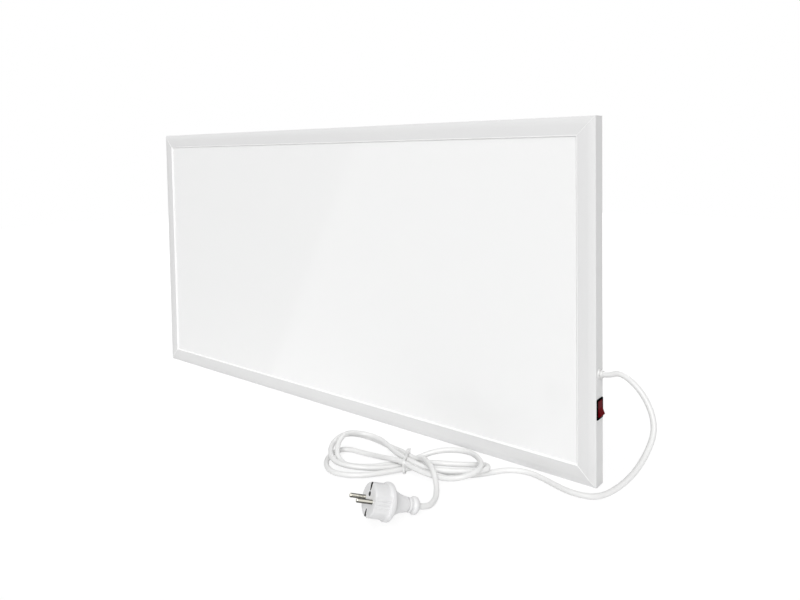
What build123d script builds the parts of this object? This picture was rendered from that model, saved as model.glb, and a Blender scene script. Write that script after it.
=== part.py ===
"""Infrared panel heater: mitred frame, glass front, film heater, rocker switch, mains lead.

Millimetres. +X runs to the right as the heater is seen from the front, the front faces -Y, +Z is up.
The origin is the middle of the frame's bottom edge, on the surface that the heater stands on.
Depths are measured back from the frame's lip, which is the foremost line of the panel.
"""
from build123d import *
import os
from math import acos, asin, atan2, cos, degrees, pi, radians, sin, sqrt, tan

os.makedirs("parts", exist_ok=True)

# ------------------------------------------------------------------ panel
PANEL_WIDTH = 900.0
PANEL_HEIGHT = 450.0
SIDE_DEPTH = 19.0  # flat outer side of the frame, front edge to back edge
CROWN = 3.0  # rise of the rounded front above that edge
BORDER = 23.0  # width of the frame seen from the front

# frame section
WALL = 1.4
EDGE_ROUND = 0.5
SHOULDER_WIDTH = 9.5  # the front falls away over this width
SHOULDER_DROP = 0.5
LIP_DEPTH = 2.0
LIP_CHAMFER = 0.5
CHAMBER_WIDTH = 6.6  # hollow between the side wall and the web
WEB = 1.2
FLANGE_WIDTH = 16.0  # back flange, from the outer side
CHAMBER_FRONT = 2.2  # hollow starts this far behind the sloping front

# layers behind the lip, front to back
GLASS = 3.0
FILM = 0.4
BUSBAR = 0.2
INSULATING_SHEET = 0.4
FOIL = 0.2
COVER = 0.8
GLASS_CORNER = 2.0
GLASS_GAP = 0.8  # between the glass edge and the web
SHEET_INSET = 15.0  # from the glass edge to the insulating sheet's edge
FILM_INSET = 20.0
BUSBAR_WIDTH = 12.0
COVER_GAP = 0.2  # between the cover's edge and the side wall

# fasteners
COVER_SCREW_R = 1.4
COVER_SCREW_LENGTH = 6.5
COVER_SCREW_HEAD_R = 2.8
COVER_SCREW_HEAD = 1.8
CORNER_SCREW_R = 1.6
CORNER_SCREW_LENGTH = 8.0
CORNER_SCREW_HEAD_R = 2.9
SCREW_CLEARANCE = 0.05
KEY_LEG = 42.0
KEY_CLEARANCE = 0.2

# hanger brackets
HANGER_SPACING_X = 600.0
HANGER_SPACING_Z = 250.0
HANGER_SHEET = 1.5
HANGER_HEIGHT = 36.0
HANGER_BRIDGE = 34.0  # width of the raised bridge
HANGER_FOOT = 12.0
HANGER_STANDOFF = 8.0  # from the cover to the bridge's near face
KEYHOLE_R = 5.0
KEYHOLE_SLOT = 5.0
KEYHOLE_RISE = 11.0
RIVET_R = 2.0
RIVET_HEAD_R = 3.6
RIVET_HEAD = 1.0
RIVET_TAIL_R = 2.7
RIVET_TAIL = 1.1

# rocker switch, on the right side face
SWITCH_Z = 95.7
SWITCH_Y = 1.45
BEZEL_HEIGHT = 25.5
BEZEL_DEPTH = 17.5
BEZEL_THICKNESS = 1.2
BEZEL_CORNER = 1.5
BEZEL_CHAMFER = 0.5
HOUSING_HEIGHT = 23.0
HOUSING_DEPTH = 14.5
HOUSING_LENGTH = 20.0
HOUSING_WALL = 0.8
HOUSING_END_WALL = 1.1
HOUSING_FLOOR = 1.2
CUTOUT_CLEARANCE = 0.05
SNAP_RISE = 1.0
SNAP_LENGTH = 4.4
SNAP_WIDTH = 8.0
ROCKER_CLEARANCE = 0.3
ROCKER_ANGLE = 11.0  # each way from the middle
ROCKER_PIVOT_INSET = 3.7  # from the panel's side face
ROCKER_VALLEY = 5.0  # valley of the V, out from the pivot
ROCKER_HALF = 9.0  # from the valley to each end
ROCKER_TIP_ROUND = 0.8
SKIRT_CLEARANCE = 0.2
AXLE_R = 1.25
AXLE_CLEARANCE = 0.05
AXLE_BITE = 0.7  # length of each stub axle in its wall
PLUNGER_R = 0.95
PLUNGER_CLEARANCE = 0.05
PLUNGER_REACH = 9.5  # from the pivot to the plunger's tip
PLUNGER_BORE_END = 1.5
PLUNGER_TOP = 2.5  # inner end of the plunger, below the pivot
POST_REACH = 5.0
POST_HALF = 2.0
LEVER_PIVOT_DROP = 11.8  # from the rocker's pivot to the lever's
LEVER_RATIO = 0.7
LEVER_HALF = 8.5
LEVER_WIDTH = 5.0
LEVER_TOP = 2.2  # top of the lever above its pivot
LEVER_SHEET = 0.8
LEVER_GROOVE_R = 0.9
SADDLE_HALF = 2.0
SADDLE_FOOT = -0.4  # the saddle reaches this far past its pivot
KNIFE_R = 0.82
REST_POST = 2.5
CONTACT_AT = 7.0
CONTACT_R = 1.2
CONTACT_HEIGHT = 0.8
CONTACT_GAP = 0.2
CONTACT_MARGIN = 0.4
BLADE_WIDTH = 6.3
BLADE = 0.8
BLADE_LENGTH = 9.0
BLADE_CLEARANCE = 0.05
CONNECTOR_LENGTH = 8.0
CONNECTOR_WALL = 0.9

# cord outlet, on the right side face
OUTLET_Z = 138.6
OUTLET_Y = 1.5
CORD_R = 3.4
OUTLET_BORE_CLEARANCE = 0.05
OUTLET_BASE_R = 6.5
OUTLET_TIP_R = 4.6
OUTLET_LENGTH = 5.0
OUTLET_BODY_R = 5.5
OUTLET_HOLE_CLEARANCE = 0.1
OUTLET_INNER_LENGTH = 13.0
OUTLET_RIDGE = 0.5
OUTLET_WEB_CLEARANCE = 0.8

# wiring pocket in the insulation board, behind the switch; x distances run inwards from the frame's web
POCKET_LENGTH = 88.8
POCKET_BELOW = 31.7  # below the switch's middle
POCKET_ABOVE = 33.4  # above the outlet's middle
CHANNEL_WIDTH = 9.0
WIRE_R = 1.15
WIRE_BEND = 3.0
WIRE_TO_TIP = 5.0  # from a blade's tip back to the wire's end
LIVE_TURN = 35.8
NEUTRAL_TURN = 24.8
NEUTRAL_STEP = 29.8
EARTH_TURN = 21.8
EARTH_RISE = 25.4  # earth screw above the outlet's middle
EARTH_SHANK_R = 1.6
EARTH_RING_R = 4.5
EARTH_BARREL_R = 1.6
EARTH_BARREL_DROP = 11.0  # below the earth screw
EARTH_BARREL_LENGTH = 5.5
EARTH_HEAD_R = 3.2
EARTH_HEAD = 2.2
CUTOUT_INSET = 52.8
CUTOUT_RISE = 20.3  # above the switch's middle
CUTOUT_CAP_R = 8.0
CUTOUT_CAP = 4.5
CUTOUT_BODY_R = 7.0
CUTOUT_BODY = 6.0
CUTOUT_BLADE_WIDTH = 4.0
CUTOUT_BLADE_REACH = 15.0
CUTOUT_BLADE_ROOT = 2.0
BLOCK_INSET = 48.8
BLOCK_RISE = 11.4  # above the outlet's middle
BLOCK_WIDTH = 22.0
BLOCK_HEIGHT = 18.0
BLOCK_DEPTH = 14.0
BLOCK_WIRE_Y = 0.0
BLOCK_SCREW_R = 1.9
BLOCK_SCREW_STEP = 5.5
BLOCK_SCREW_DEPTH = 1.6

# plug
PLUG_INSET = 154.0  # from the panel's right side to the collar's middle
PLUG_Y = -215.0
PLUG_HEADING = radians(242.4)
PLUG_ROLL = radians(8.5)
COLLAR_R = 21.0
COLLAR_ROUND = 3.5
PLUG_FACE = 25.2  # from the collar's middle to the front face
PLUG_FACE_R = 18.5
PLUG_BODY_R = 18.9
PLUG_FACE_ROUND = 1.4
SHOULDER_R = 12.2  # the back falls from the collar to here, then curves into the neck
SHOULDER_AT = 7.0
NECK_CURVE_R = 9.3
NECK_CURVE_AT = 10.8
NECK_TOP_R = 8.2
NECK_TOP_AT = 15.5
NECK_R = 7.2
NECK_END = 22.6
GROOVE_R = 5.6
GROOVE = 1.8
RING_R = 7.9
RING = 2.6
BULB_ROUND = 4.0
BULB_RING_R = 5.9
BULB_AT = 32.3
PLUG_END = 38.0
PLUG_END_R = 4.6
PIN_R = 2.4
PIN_LENGTH = 19.0
PIN_TIP_ROUND = 1.2
PIN_ROOT = 7.0
PIN_ROOT_R = 2.0
PIN_SHOULDER = 0.15  # the full pin starts this far in front of the face
PIN_STEP = 9.5
EARTH_HOLE_R = 2.6
EARTH_HOLE_STEP = 6.2
EARTH_HOLE_DEPTH = 14.0
FLAT_AT = 16.6
GRIP_RISE = 0.9
GRIP_WIDTH = 1.6
GRIP_PITCH = 4.0
CLIP_GROOVE_WIDTH = 4.6
CLIP_GROOVE_FLOOR = 12.5
CLIP_GROOVE_LENGTH = 16.2
CLIP = 0.8
CLIP_WIDTH = 3.6
CLIP_FOOT_R = 13.2
CLIP_BACK_R = 15.9

# mains lead, which lies on the floor; x distances run from the panel's right side or from the tie
CORD_FILLET = 0.45  # share of the shorter run that each bend takes
PLUG_APPROACH = 12.0  # straight run of cord into the plug
TIE_INSET = 214.6
TIE_Y = -107.0
LOWER_HEADING = radians(62.9)
UPPER_HEADING = radians(-10.7)
STRAND_PITCH = 8.0
STRAND_HALF = 8.0
LOWER_Z = 5.6
UPPER_Z = 13.8
HANK_LEAD_IN = 7.0
HANK_TAIL = 10.0
TAIL_LEAD_OUT = 5.0
TIE_WIDTH = 3.0
TIE_BAND = 1.0
TIE_HALF = 16.6
TIE_LOW = 1.6
TIE_HIGH = 17.8

# ------------------------------------------------------------------ worked out from these
DEPTH = SIDE_DEPTH + CROWN
FRONT_Y = -DEPTH / 2
BACK_Y = DEPTH / 2
SIDE_X = PANEL_WIDTH / 2
MIDDLE_Z = PANEL_HEIGHT / 2
WEB_FRONT = WALL + CHAMBER_WIDTH
WEB_BACK = WEB_FRONT + WEB
COVER_DEPTH = DEPTH - COVER  # depth of the cover's near face
FLANGE_DEPTH = COVER_DEPTH - WALL
GLASS_BACK = LIP_DEPTH + GLASS
FILM_BACK = GLASS_BACK + FILM
BUSBAR_BACK = FILM_BACK + BUSBAR
SHEET_BACK = BUSBAR_BACK + INSULATING_SHEET
FOIL_BACK = SHEET_BACK + FOIL
GLASS_EDGE = WEB_BACK + GLASS_GAP
GLASS_WIDTH = PANEL_WIDTH - 2 * GLASS_EDGE
GLASS_HEIGHT = PANEL_HEIGHT - 2 * GLASS_EDGE
WEB_X = SIDE_X - WEB_BACK  # face of the right bar's web, inside the panel
POCKET_LEFT = WEB_X - POCKET_LENGTH
POCKET_LOW = SWITCH_Z - POCKET_BELOW
POCKET_HIGH = OUTLET_Z + POCKET_ABOVE
CHANNEL_X = POCKET_LEFT + CHANNEL_WIDTH / 2
CUTOUT_X = WEB_X - CUTOUT_INSET
CUTOUT_Z = SWITCH_Z + CUTOUT_RISE
BLOCK_X = WEB_X - BLOCK_INSET
BLOCK_Z = OUTLET_Z + BLOCK_RISE
EARTH_Z = OUTLET_Z + EARTH_RISE
EARTH_BARREL_LOW = EARTH_Z - EARTH_BARREL_DROP
EARTH_BARREL_X = WEB_X - EARTH_BARREL_R - 0.1
PLUG_X = SIDE_X - PLUG_INSET
TIE_X = SIDE_X - TIE_INSET
COVER_FACE = BACK_Y
CHAMBER_MIDDLE = WALL + CHAMBER_WIDTH / 2


def layer_plane(depth):
    """A plane across the panel, facing the viewer, this far behind the lip."""
    return Plane(origin=(0, FRONT_Y + depth, 0), x_dir=(1, 0, 0), z_dir=(0, -1, 0))


def side_plane(x, y, z):
    """A plane that faces out of the panel's right side: local x is Y, local y is Z."""
    return Plane(origin=(x, y, z), x_dir=(0, 1, 0), z_dir=(1, 0, 0))


def save(part, name):
    part.label = name
    export_step(part, "parts/" + name + ".step")


# ------------------------------------------------------------------ frame
COVER_SCREWS_LONG = [(x, z) for z in (CHAMBER_MIDDLE, PANEL_HEIGHT - CHAMBER_MIDDLE)
                     for x in (-0.42 * PANEL_WIDTH, -0.21 * PANEL_WIDTH, 0.0,
                               0.21 * PANEL_WIDTH, 0.42 * PANEL_WIDTH)]
COVER_SCREWS_SIDE = [(side * (SIDE_X - CHAMBER_MIDDLE), MIDDLE_Z + step)
                     for side in (-1, 1) for step in (-0.25 * PANEL_HEIGHT, 0.25 * PANEL_HEIGHT)]
COVER_SCREWS = COVER_SCREWS_LONG + COVER_SCREWS_SIDE
CORNERS = [(sx, sz) for sx in (-1, 1) for sz in (-1, 1)]
KEY_SCREW_AT = 0.6 * KEY_LEG
CORNER_SCREWS = []
for sx, sz in CORNERS:
    corner_x = sx * SIDE_X
    corner_z = MIDDLE_Z + sz * MIDDLE_Z
    CORNER_SCREWS.append((corner_x - sx * KEY_SCREW_AT, corner_z - sz * CHAMBER_MIDDLE))
    CORNER_SCREWS.append((corner_x - sx * CHAMBER_MIDDLE, corner_z - sz * KEY_SCREW_AT))


def frame_bar(corner, inward, length):
    """One mitred bar: its section swept from a corner, then cut at 45 degrees at both ends."""
    inward = Vector(*inward)
    along = inward.cross(Vector(0, 1, 0))
    start = Vector(corner[0], FRONT_Y, corner[1])
    with BuildPart() as bar:
        with BuildSketch(Plane(origin=start, x_dir=inward, z_dir=along)) as section:
            with BuildLine():
                crest = TangentArc((BORDER - LIP_CHAMFER, 0), (SHOULDER_WIDTH, SHOULDER_DROP),
                                   tangent=(-1, 0))
                TangentArc(crest @ 1, (0, CROWN), tangent=crest % 1)
                Polyline((0, CROWN), (0, DEPTH), (WALL, DEPTH), (WALL, COVER_DEPTH),
                         (FLANGE_WIDTH, COVER_DEPTH), (FLANGE_WIDTH, FLANGE_DEPTH),
                         (WEB_BACK, FLANGE_DEPTH), (WEB_BACK, LIP_DEPTH), (BORDER, LIP_DEPTH),
                         (BORDER, LIP_CHAMFER), (BORDER - LIP_CHAMFER, 0))
            make_face()
            with BuildLine():
                Polyline((WALL, CROWN + WALL / 2), (WEB_FRONT, CHAMBER_FRONT),
                         (WEB_FRONT, FLANGE_DEPTH), (WALL, FLANGE_DEPTH), close=True)
            make_face(mode=Mode.SUBTRACT)
            outer_edge = section.vertices().sort_by_distance((0, CROWN))[0]
            fillet(outer_edge, EDGE_ROUND)
        extrude(amount=length)
        split(bisect_by=Plane(origin=start, z_dir=along - inward), keep=Keep.TOP)
        split(bisect_by=Plane(origin=start + along * length, z_dir=-along - inward), keep=Keep.TOP)
        with BuildSketch(layer_plane(DEPTH)):
            with Locations(*[Location((x, z)) for x, z in COVER_SCREWS]):
                Circle(COVER_SCREW_R + SCREW_CLEARANCE)
        extrude(amount=DEPTH - FLANGE_DEPTH + WALL, mode=Mode.SUBTRACT)
        with Locations(*[Location((x, FRONT_Y + COVER_DEPTH, z), (-90, 0, 0)) for x, z in CORNER_SCREWS]):
            CounterSinkHole(CORNER_SCREW_R + SCREW_CLEARANCE, CORNER_SCREW_HEAD_R + SCREW_CLEARANCE,
                            depth=2 * WALL, counter_sink_angle=90)
    return bar.part


FRAME_BARS = {
    "frame_bottom": ((SIDE_X, 0), (0, 0, 1), PANEL_WIDTH),
    "frame_left": ((-SIDE_X, 0), (1, 0, 0), PANEL_HEIGHT),
    "frame_top": ((-SIDE_X, PANEL_HEIGHT), (0, 0, -1), PANEL_WIDTH),
    "frame_right": ((SIDE_X, PANEL_HEIGHT), (-1, 0, 0), PANEL_HEIGHT),
}
for bar_name, (bar_corner, bar_inward, bar_length) in FRAME_BARS.items():
    bar_part = frame_bar(bar_corner, bar_inward, bar_length)
    if bar_name == "frame_right":
        with BuildPart() as frame_right:
            add(bar_part)
            with BuildSketch(side_plane(SIDE_X, SWITCH_Y, SWITCH_Z)):
                Rectangle(HOUSING_DEPTH + 2 * CUTOUT_CLEARANCE, HOUSING_HEIGHT + 2 * CUTOUT_CLEARANCE)
            extrude(amount=-2 * WEB_BACK, mode=Mode.SUBTRACT)
            with BuildSketch(side_plane(SIDE_X, OUTLET_Y, OUTLET_Z)):
                Circle(OUTLET_BODY_R + OUTLET_HOLE_CLEARANCE)
            extrude(amount=-2 * WALL, mode=Mode.SUBTRACT)
            with BuildSketch(side_plane(WEB_X, OUTLET_Y, OUTLET_Z)):
                Circle(OUTLET_BODY_R + OUTLET_WEB_CLEARANCE)
                with Locations((0, EARTH_Z - OUTLET_Z)):
                    Circle(EARTH_SHANK_R + SCREW_CLEARANCE)
            extrude(amount=1.5 * WEB, mode=Mode.SUBTRACT)
        bar_part = frame_right.part
    save(bar_part, bar_name)

# L-shaped keys stand in the bars' hollow chambers and join each corner
KEY_DEPTH = FLANGE_DEPTH - CROWN - WALL - 2 * KEY_CLEARANCE
with BuildPart() as corner_keys:
    for sx, sz in CORNERS:
        leg_x = sx * (SIDE_X - WALL - KEY_CLEARANCE - KEY_LEG / 2)
        leg_z = MIDDLE_Z + sz * (MIDDLE_Z - WALL - KEY_CLEARANCE - KEY_LEG / 2)
        key_width = CHAMBER_WIDTH - 2 * KEY_CLEARANCE
        with BuildSketch(layer_plane(FLANGE_DEPTH - KEY_CLEARANCE)) as key:
            with Locations((leg_x, MIDDLE_Z + sz * (MIDDLE_Z - CHAMBER_MIDDLE))):
                Rectangle(KEY_LEG, key_width)
            with Locations((sx * (SIDE_X - CHAMBER_MIDDLE), leg_z)):
                Rectangle(key_width, KEY_LEG)
            with Locations(*[Location((x, z)) for x, z in CORNER_SCREWS]):
                Circle(CORNER_SCREW_R + SCREW_CLEARANCE, mode=Mode.SUBTRACT)
        extrude(amount=KEY_DEPTH)
save(corner_keys.part, "corner_keys")


def screw(shank_r, length, head_r, head, countersunk):
    """A screw along Y, the top of the sheet under its head at the origin, its point towards -Y."""
    point = [(0, -length), (shank_r / 2, -length), (shank_r, -length + shank_r)]
    if countersunk:
        top = [(shank_r, shank_r - head_r), (head_r, 0), (0, 0)]
    else:
        top = [(shank_r, 0), (head_r, 0), (head_r, 0.45 * head), (0.6 * head_r, head), (0, head)]
    with BuildPart() as body:
        with BuildSketch(Plane.XY):
            with BuildLine():
                Polyline(*point, *top, close=True)
            make_face()
        revolve(axis=Axis.Y)
    return body.part


corner_screw = screw(CORNER_SCREW_R, CORNER_SCREW_LENGTH, CORNER_SCREW_HEAD_R, 0, True)
with BuildPart() as corner_screws:
    with Locations(*[Location((x, FRONT_Y + COVER_DEPTH, z)) for x, z in CORNER_SCREWS]):
        add(corner_screw)
save(corner_screws.part, "corner_screws")

cover_screw = screw(COVER_SCREW_R, COVER_SCREW_LENGTH, COVER_SCREW_HEAD_R, COVER_SCREW_HEAD, False)
with BuildPart() as back_cover_screws:
    with Locations(*[Location((x, COVER_FACE, z)) for x, z in COVER_SCREWS]):
        add(cover_screw)
save(back_cover_screws.part, "back_cover_screws")

# ------------------------------------------------------------------ layers behind the lip
with BuildPart() as front_panel:
    with BuildSketch(layer_plane(GLASS_BACK)):
        with Locations((0, MIDDLE_Z)):
            RectangleRounded(GLASS_WIDTH, GLASS_HEIGHT, GLASS_CORNER)
    extrude(amount=GLASS)
save(front_panel.part, "front_panel")

FILM_WIDTH = GLASS_WIDTH - 2 * FILM_INSET
FILM_HEIGHT = GLASS_HEIGHT - 2 * FILM_INSET
with BuildPart() as heating_film:
    with BuildSketch(layer_plane(FILM_BACK)):
        with Locations((0, MIDDLE_Z)):
            Rectangle(FILM_WIDTH, FILM_HEIGHT)
    extrude(amount=FILM)
save(heating_film.part, "heating_film")

BUSBAR_STEP = (FILM_HEIGHT - BUSBAR_WIDTH) / 2
BUSBAR_TOP_Z = MIDDLE_Z + BUSBAR_STEP
BUSBAR_LOW_Z = MIDDLE_Z - BUSBAR_STEP
with BuildPart() as busbars:
    with BuildSketch(layer_plane(BUSBAR_BACK)):
        with Locations((0, BUSBAR_LOW_Z), (0, BUSBAR_TOP_Z)):
            Rectangle(FILM_WIDTH, BUSBAR_WIDTH)
    extrude(amount=BUSBAR)
save(busbars.part, "busbars")

WINDOW_R = CHANNEL_WIDTH / 2
for sheet_name, sheet_back, sheet in (("insulating_sheet", SHEET_BACK, INSULATING_SHEET),
                                      ("reflector_foil", FOIL_BACK, FOIL)):
    with BuildPart() as backing:
        with BuildSketch(layer_plane(sheet_back)):
            with Locations((0, MIDDLE_Z)):
                Rectangle(GLASS_WIDTH - 2 * SHEET_INSET, GLASS_HEIGHT - 2 * SHEET_INSET)
            with Locations((CHANNEL_X, BUSBAR_LOW_Z), (CHANNEL_X, BUSBAR_TOP_Z)):
                Circle(WINDOW_R, mode=Mode.SUBTRACT)
        extrude(amount=sheet)
    save(backing.part, sheet_name)

with BuildPart() as insulation_board:
    with BuildSketch(layer_plane(FLANGE_DEPTH)):
        with Locations((0, MIDDLE_Z)):
            Rectangle(GLASS_WIDTH, GLASS_HEIGHT)
        with Locations(((POCKET_LEFT + WEB_X) / 2, (POCKET_LOW + POCKET_HIGH) / 2)):
            Rectangle(WEB_X - POCKET_LEFT, POCKET_HIGH - POCKET_LOW, mode=Mode.SUBTRACT)
        channel_low = BUSBAR_LOW_Z - WINDOW_R
        channel_high = BUSBAR_TOP_Z + WINDOW_R
        with Locations((CHANNEL_X, (channel_low + channel_high) / 2)):
            Rectangle(CHANNEL_WIDTH, channel_high - channel_low, mode=Mode.SUBTRACT)
    extrude(amount=FLANGE_DEPTH - FOIL_BACK)
save(insulation_board.part, "insulation_board")

# ------------------------------------------------------------------ back cover and hangers
HANGERS = [(sx * HANGER_SPACING_X / 2, MIDDLE_Z + sz * HANGER_SPACING_Z / 2) for sx, sz in CORNERS]
RIVET_STEP = HANGER_BRIDGE / 2 + HANGER_FOOT / 2
RIVETS = [(x + side * RIVET_STEP, z) for x, z in HANGERS for side in (-1, 1)]
cover_inset = WALL + COVER_GAP
with BuildPart() as back_cover:
    with BuildSketch(layer_plane(DEPTH)):
        with Locations((0, MIDDLE_Z)):
            Rectangle(PANEL_WIDTH - 2 * cover_inset, PANEL_HEIGHT - 2 * cover_inset)
        with Locations(*[Location((x, z)) for x, z in COVER_SCREWS]):
            Circle(COVER_SCREW_R + SCREW_CLEARANCE, mode=Mode.SUBTRACT)
        with Locations(*[Location((x, z)) for x, z in RIVETS]):
            Circle(RIVET_R + SCREW_CLEARANCE, mode=Mode.SUBTRACT)
    extrude(amount=COVER)
save(back_cover.part, "back_cover")


def hanger_bracket(x, z):
    """Hat-section bracket: two feet on the cover, a raised bridge with a keyhole in it."""
    outer = HANGER_BRIDGE / 2
    top = HANGER_STANDOFF + HANGER_SHEET
    with BuildPart() as bracket:
        with BuildSketch(Plane(origin=(x, COVER_FACE, z), x_dir=(1, 0, 0), z_dir=(0, 0, -1))):
            with BuildLine():
                half = Polyline((0, -top), (outer, -top), (outer, -HANGER_SHEET),
                                (outer + HANGER_FOOT, -HANGER_SHEET), (outer + HANGER_FOOT, 0),
                                (outer - HANGER_SHEET, 0), (outer - HANGER_SHEET, -HANGER_STANDOFF),
                                (0, -HANGER_STANDOFF))
                mirror(half, about=Plane.YZ)
            make_face()
        extrude(amount=HANGER_HEIGHT / 2, both=True)
        bends = bracket.edges().filter_by(Axis.Z).group_by(Axis.Y)
        fillet(bends[-1], HANGER_SHEET)
        with BuildSketch(layer_plane(DEPTH + top)):
            with Locations((x, z)):
                Circle(KEYHOLE_R)
            with Locations((x, z + KEYHOLE_RISE / 2)):
                Rectangle(KEYHOLE_SLOT, KEYHOLE_RISE)
            with Locations((x, z + KEYHOLE_RISE)):
                Circle(KEYHOLE_SLOT / 2)
        extrude(amount=HANGER_SHEET * 1.5, mode=Mode.SUBTRACT)
        with BuildSketch(layer_plane(DEPTH + top)):
            with Locations((x - RIVET_STEP, z), (x + RIVET_STEP, z)):
                Circle(RIVET_R + SCREW_CLEARANCE)
        extrude(amount=top, mode=Mode.SUBTRACT)
    return bracket.part


for number, (hanger_x, hanger_z) in enumerate(HANGERS, 1):
    save(hanger_bracket(hanger_x, hanger_z), f"hanger_bracket_{number}")

with BuildPart() as rivet:
    with BuildSketch(Plane.XY):
        with BuildLine():
            Polyline((0, -COVER - RIVET_TAIL), (0.6 * RIVET_TAIL_R, -COVER - RIVET_TAIL),
                     (RIVET_TAIL_R, -COVER), (RIVET_R, -COVER), (RIVET_R, HANGER_SHEET),
                     (RIVET_HEAD_R, HANGER_SHEET), (0.5 * RIVET_HEAD_R, HANGER_SHEET + RIVET_HEAD),
                     (0, HANGER_SHEET + RIVET_HEAD), close=True)
        make_face()
    revolve(axis=Axis.Y)
with BuildPart() as hanger_rivets:
    with Locations(*[Location((x, COVER_FACE, z)) for x, z in RIVETS]):
        add(rivet.part)
save(hanger_rivets.part, "hanger_rivets")

# ------------------------------------------------------------------ rocker switch
INNER_DEPTH = HOUSING_DEPTH - 2 * HOUSING_WALL
INNER_HEIGHT = HOUSING_HEIGHT - 2 * HOUSING_END_WALL
PIVOT_X = SIDE_X - ROCKER_PIVOT_INSET
LEVER_X = PIVOT_X - LEVER_PIVOT_DROP
HOUSING_BACK = SIDE_X - HOUSING_LENGTH
FLOOR_X = HOUSING_BACK + HOUSING_FLOOR
ROCKER_WIDTH = INNER_DEPTH - 2 * ROCKER_CLEARANCE
LEVER_ANGLE = LEVER_RATIO * ROCKER_ANGLE
LEVER_UNDER = LEVER_TOP - LEVER_SHEET
contact_reach = CONTACT_AT * sin(radians(LEVER_ANGLE))
contact_drop = (CONTACT_HEIGHT + CONTACT_R * sin(radians(LEVER_ANGLE)))
FIXED_CONTACT_X = LEVER_X - contact_reach + LEVER_UNDER - contact_drop - CONTACT_GAP
REST_POST_X = LEVER_X - LEVER_HALF * sin(radians(LEVER_ANGLE)) + LEVER_UNDER - CONTACT_GAP
THROW_Z = SWITCH_Z + CONTACT_AT

with BuildPart() as switch_housing:
    with BuildSketch(side_plane(HOUSING_BACK, SWITCH_Y, SWITCH_Z)):
        Rectangle(HOUSING_DEPTH, HOUSING_HEIGHT)
    extrude(amount=HOUSING_LENGTH)
    with BuildSketch(side_plane(SIDE_X, SWITCH_Y, SWITCH_Z)):
        RectangleRounded(BEZEL_DEPTH, BEZEL_HEIGHT, BEZEL_CORNER)
    extrude(amount=BEZEL_THICKNESS)
    chamfer(switch_housing.edges().group_by(Axis.X)[-1], BEZEL_CHAMFER)
    with BuildSketch(side_plane(FLOOR_X, SWITCH_Y, SWITCH_Z)):
        Rectangle(INNER_DEPTH, INNER_HEIGHT)
    extrude(amount=HOUSING_LENGTH + BEZEL_THICKNESS, mode=Mode.SUBTRACT)
    # snap wedges behind the frame's side wall
    with BuildSketch(Plane(origin=(0, SWITCH_Y, SWITCH_Z), x_dir=(1, 0, 0), z_dir=(0, -1, 0))):
        wedge_x = SIDE_X - WALL - CUTOUT_CLEARANCE
        for side in (-1, 1):
            with BuildLine():
                Polyline((wedge_x, side * HOUSING_HEIGHT / 2),
                         (wedge_x, side * (HOUSING_HEIGHT / 2 + SNAP_RISE)),
                         (wedge_x - SNAP_LENGTH, side * HOUSING_HEIGHT / 2), close=True)
            make_face()
    extrude(amount=SNAP_WIDTH / 2, both=True)
    # axle holes in the two long walls
    with BuildSketch(Plane(origin=(PIVOT_X, SWITCH_Y, SWITCH_Z), x_dir=(1, 0, 0), z_dir=(0, -1, 0))):
        Circle(AXLE_R + AXLE_CLEARANCE)
    extrude(amount=HOUSING_DEPTH, both=True, mode=Mode.SUBTRACT)
    # rest post under the lever's lower end, and the slots for the blades
    with BuildSketch(side_plane(FLOOR_X, SWITCH_Y, SWITCH_Z - LEVER_HALF + REST_POST / 2)):
        Rectangle(LEVER_WIDTH, REST_POST)
    extrude(amount=REST_POST_X - FLOOR_X)
    with BuildSketch(side_plane(HOUSING_BACK, SWITCH_Y, SWITCH_Z)):
        with Locations((0, 0), (0, THROW_Z - SWITCH_Z)):
            Rectangle(BLADE_WIDTH + 2 * BLADE_CLEARANCE, BLADE + 2 * BLADE_CLEARANCE)
    extrude(amount=HOUSING_FLOOR, mode=Mode.SUBTRACT)
save(switch_housing.part, "switch_housing")

# at rest the upper end of the rocker is pressed in
rest_tilt = radians(ROCKER_ANGLE)
ROCKER_PLANE = Plane(origin=(PIVOT_X, SWITCH_Y, SWITCH_Z), x_dir=(cos(rest_tilt), 0, sin(rest_tilt)),
                     z_dir=(0, -1, 0))
ROCKER_PEAK = ROCKER_VALLEY + ROCKER_HALF * tan(rest_tilt)
skirt_r = INNER_HEIGHT / 2 - SKIRT_CLEARANCE
skirt_out = 2.5
skirt_in = -1.5
BORE_PLANE = Plane(origin=ROCKER_PLANE.origin, x_dir=(0, 1, 0), z_dir=ROCKER_PLANE.x_dir)
with BuildPart() as rocker:
    with BuildSketch(ROCKER_PLANE) as rocker_side:
        with BuildLine():
            upper = Polyline((ROCKER_VALLEY, 0), (ROCKER_PEAK, ROCKER_HALF),
                             (skirt_out, sqrt(skirt_r ** 2 - skirt_out ** 2)),
                             (skirt_in, skirt_r - 1.4), (-2.6, 6.0), (-2.6, POST_HALF),
                             (-POST_REACH, POST_HALF), (-POST_REACH, 0))
            mirror(upper, about=Plane.XZ)
        make_face()
        tips = rocker_side.vertices().group_by(Axis.X)[-1]
        fillet(tips, ROCKER_TIP_ROUND)
    extrude(amount=ROCKER_WIDTH / 2, both=True)
    with BuildSketch(ROCKER_PLANE):
        Circle(AXLE_R)
    extrude(amount=INNER_DEPTH / 2 + AXLE_BITE, both=True)
    with BuildSketch(BORE_PLANE.offset(PLUNGER_BORE_END)):
        Circle(PLUNGER_R + PLUNGER_CLEARANCE)
    extrude(amount=-PLUNGER_REACH, mode=Mode.SUBTRACT)
save(rocker.part, "rocker")

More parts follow.
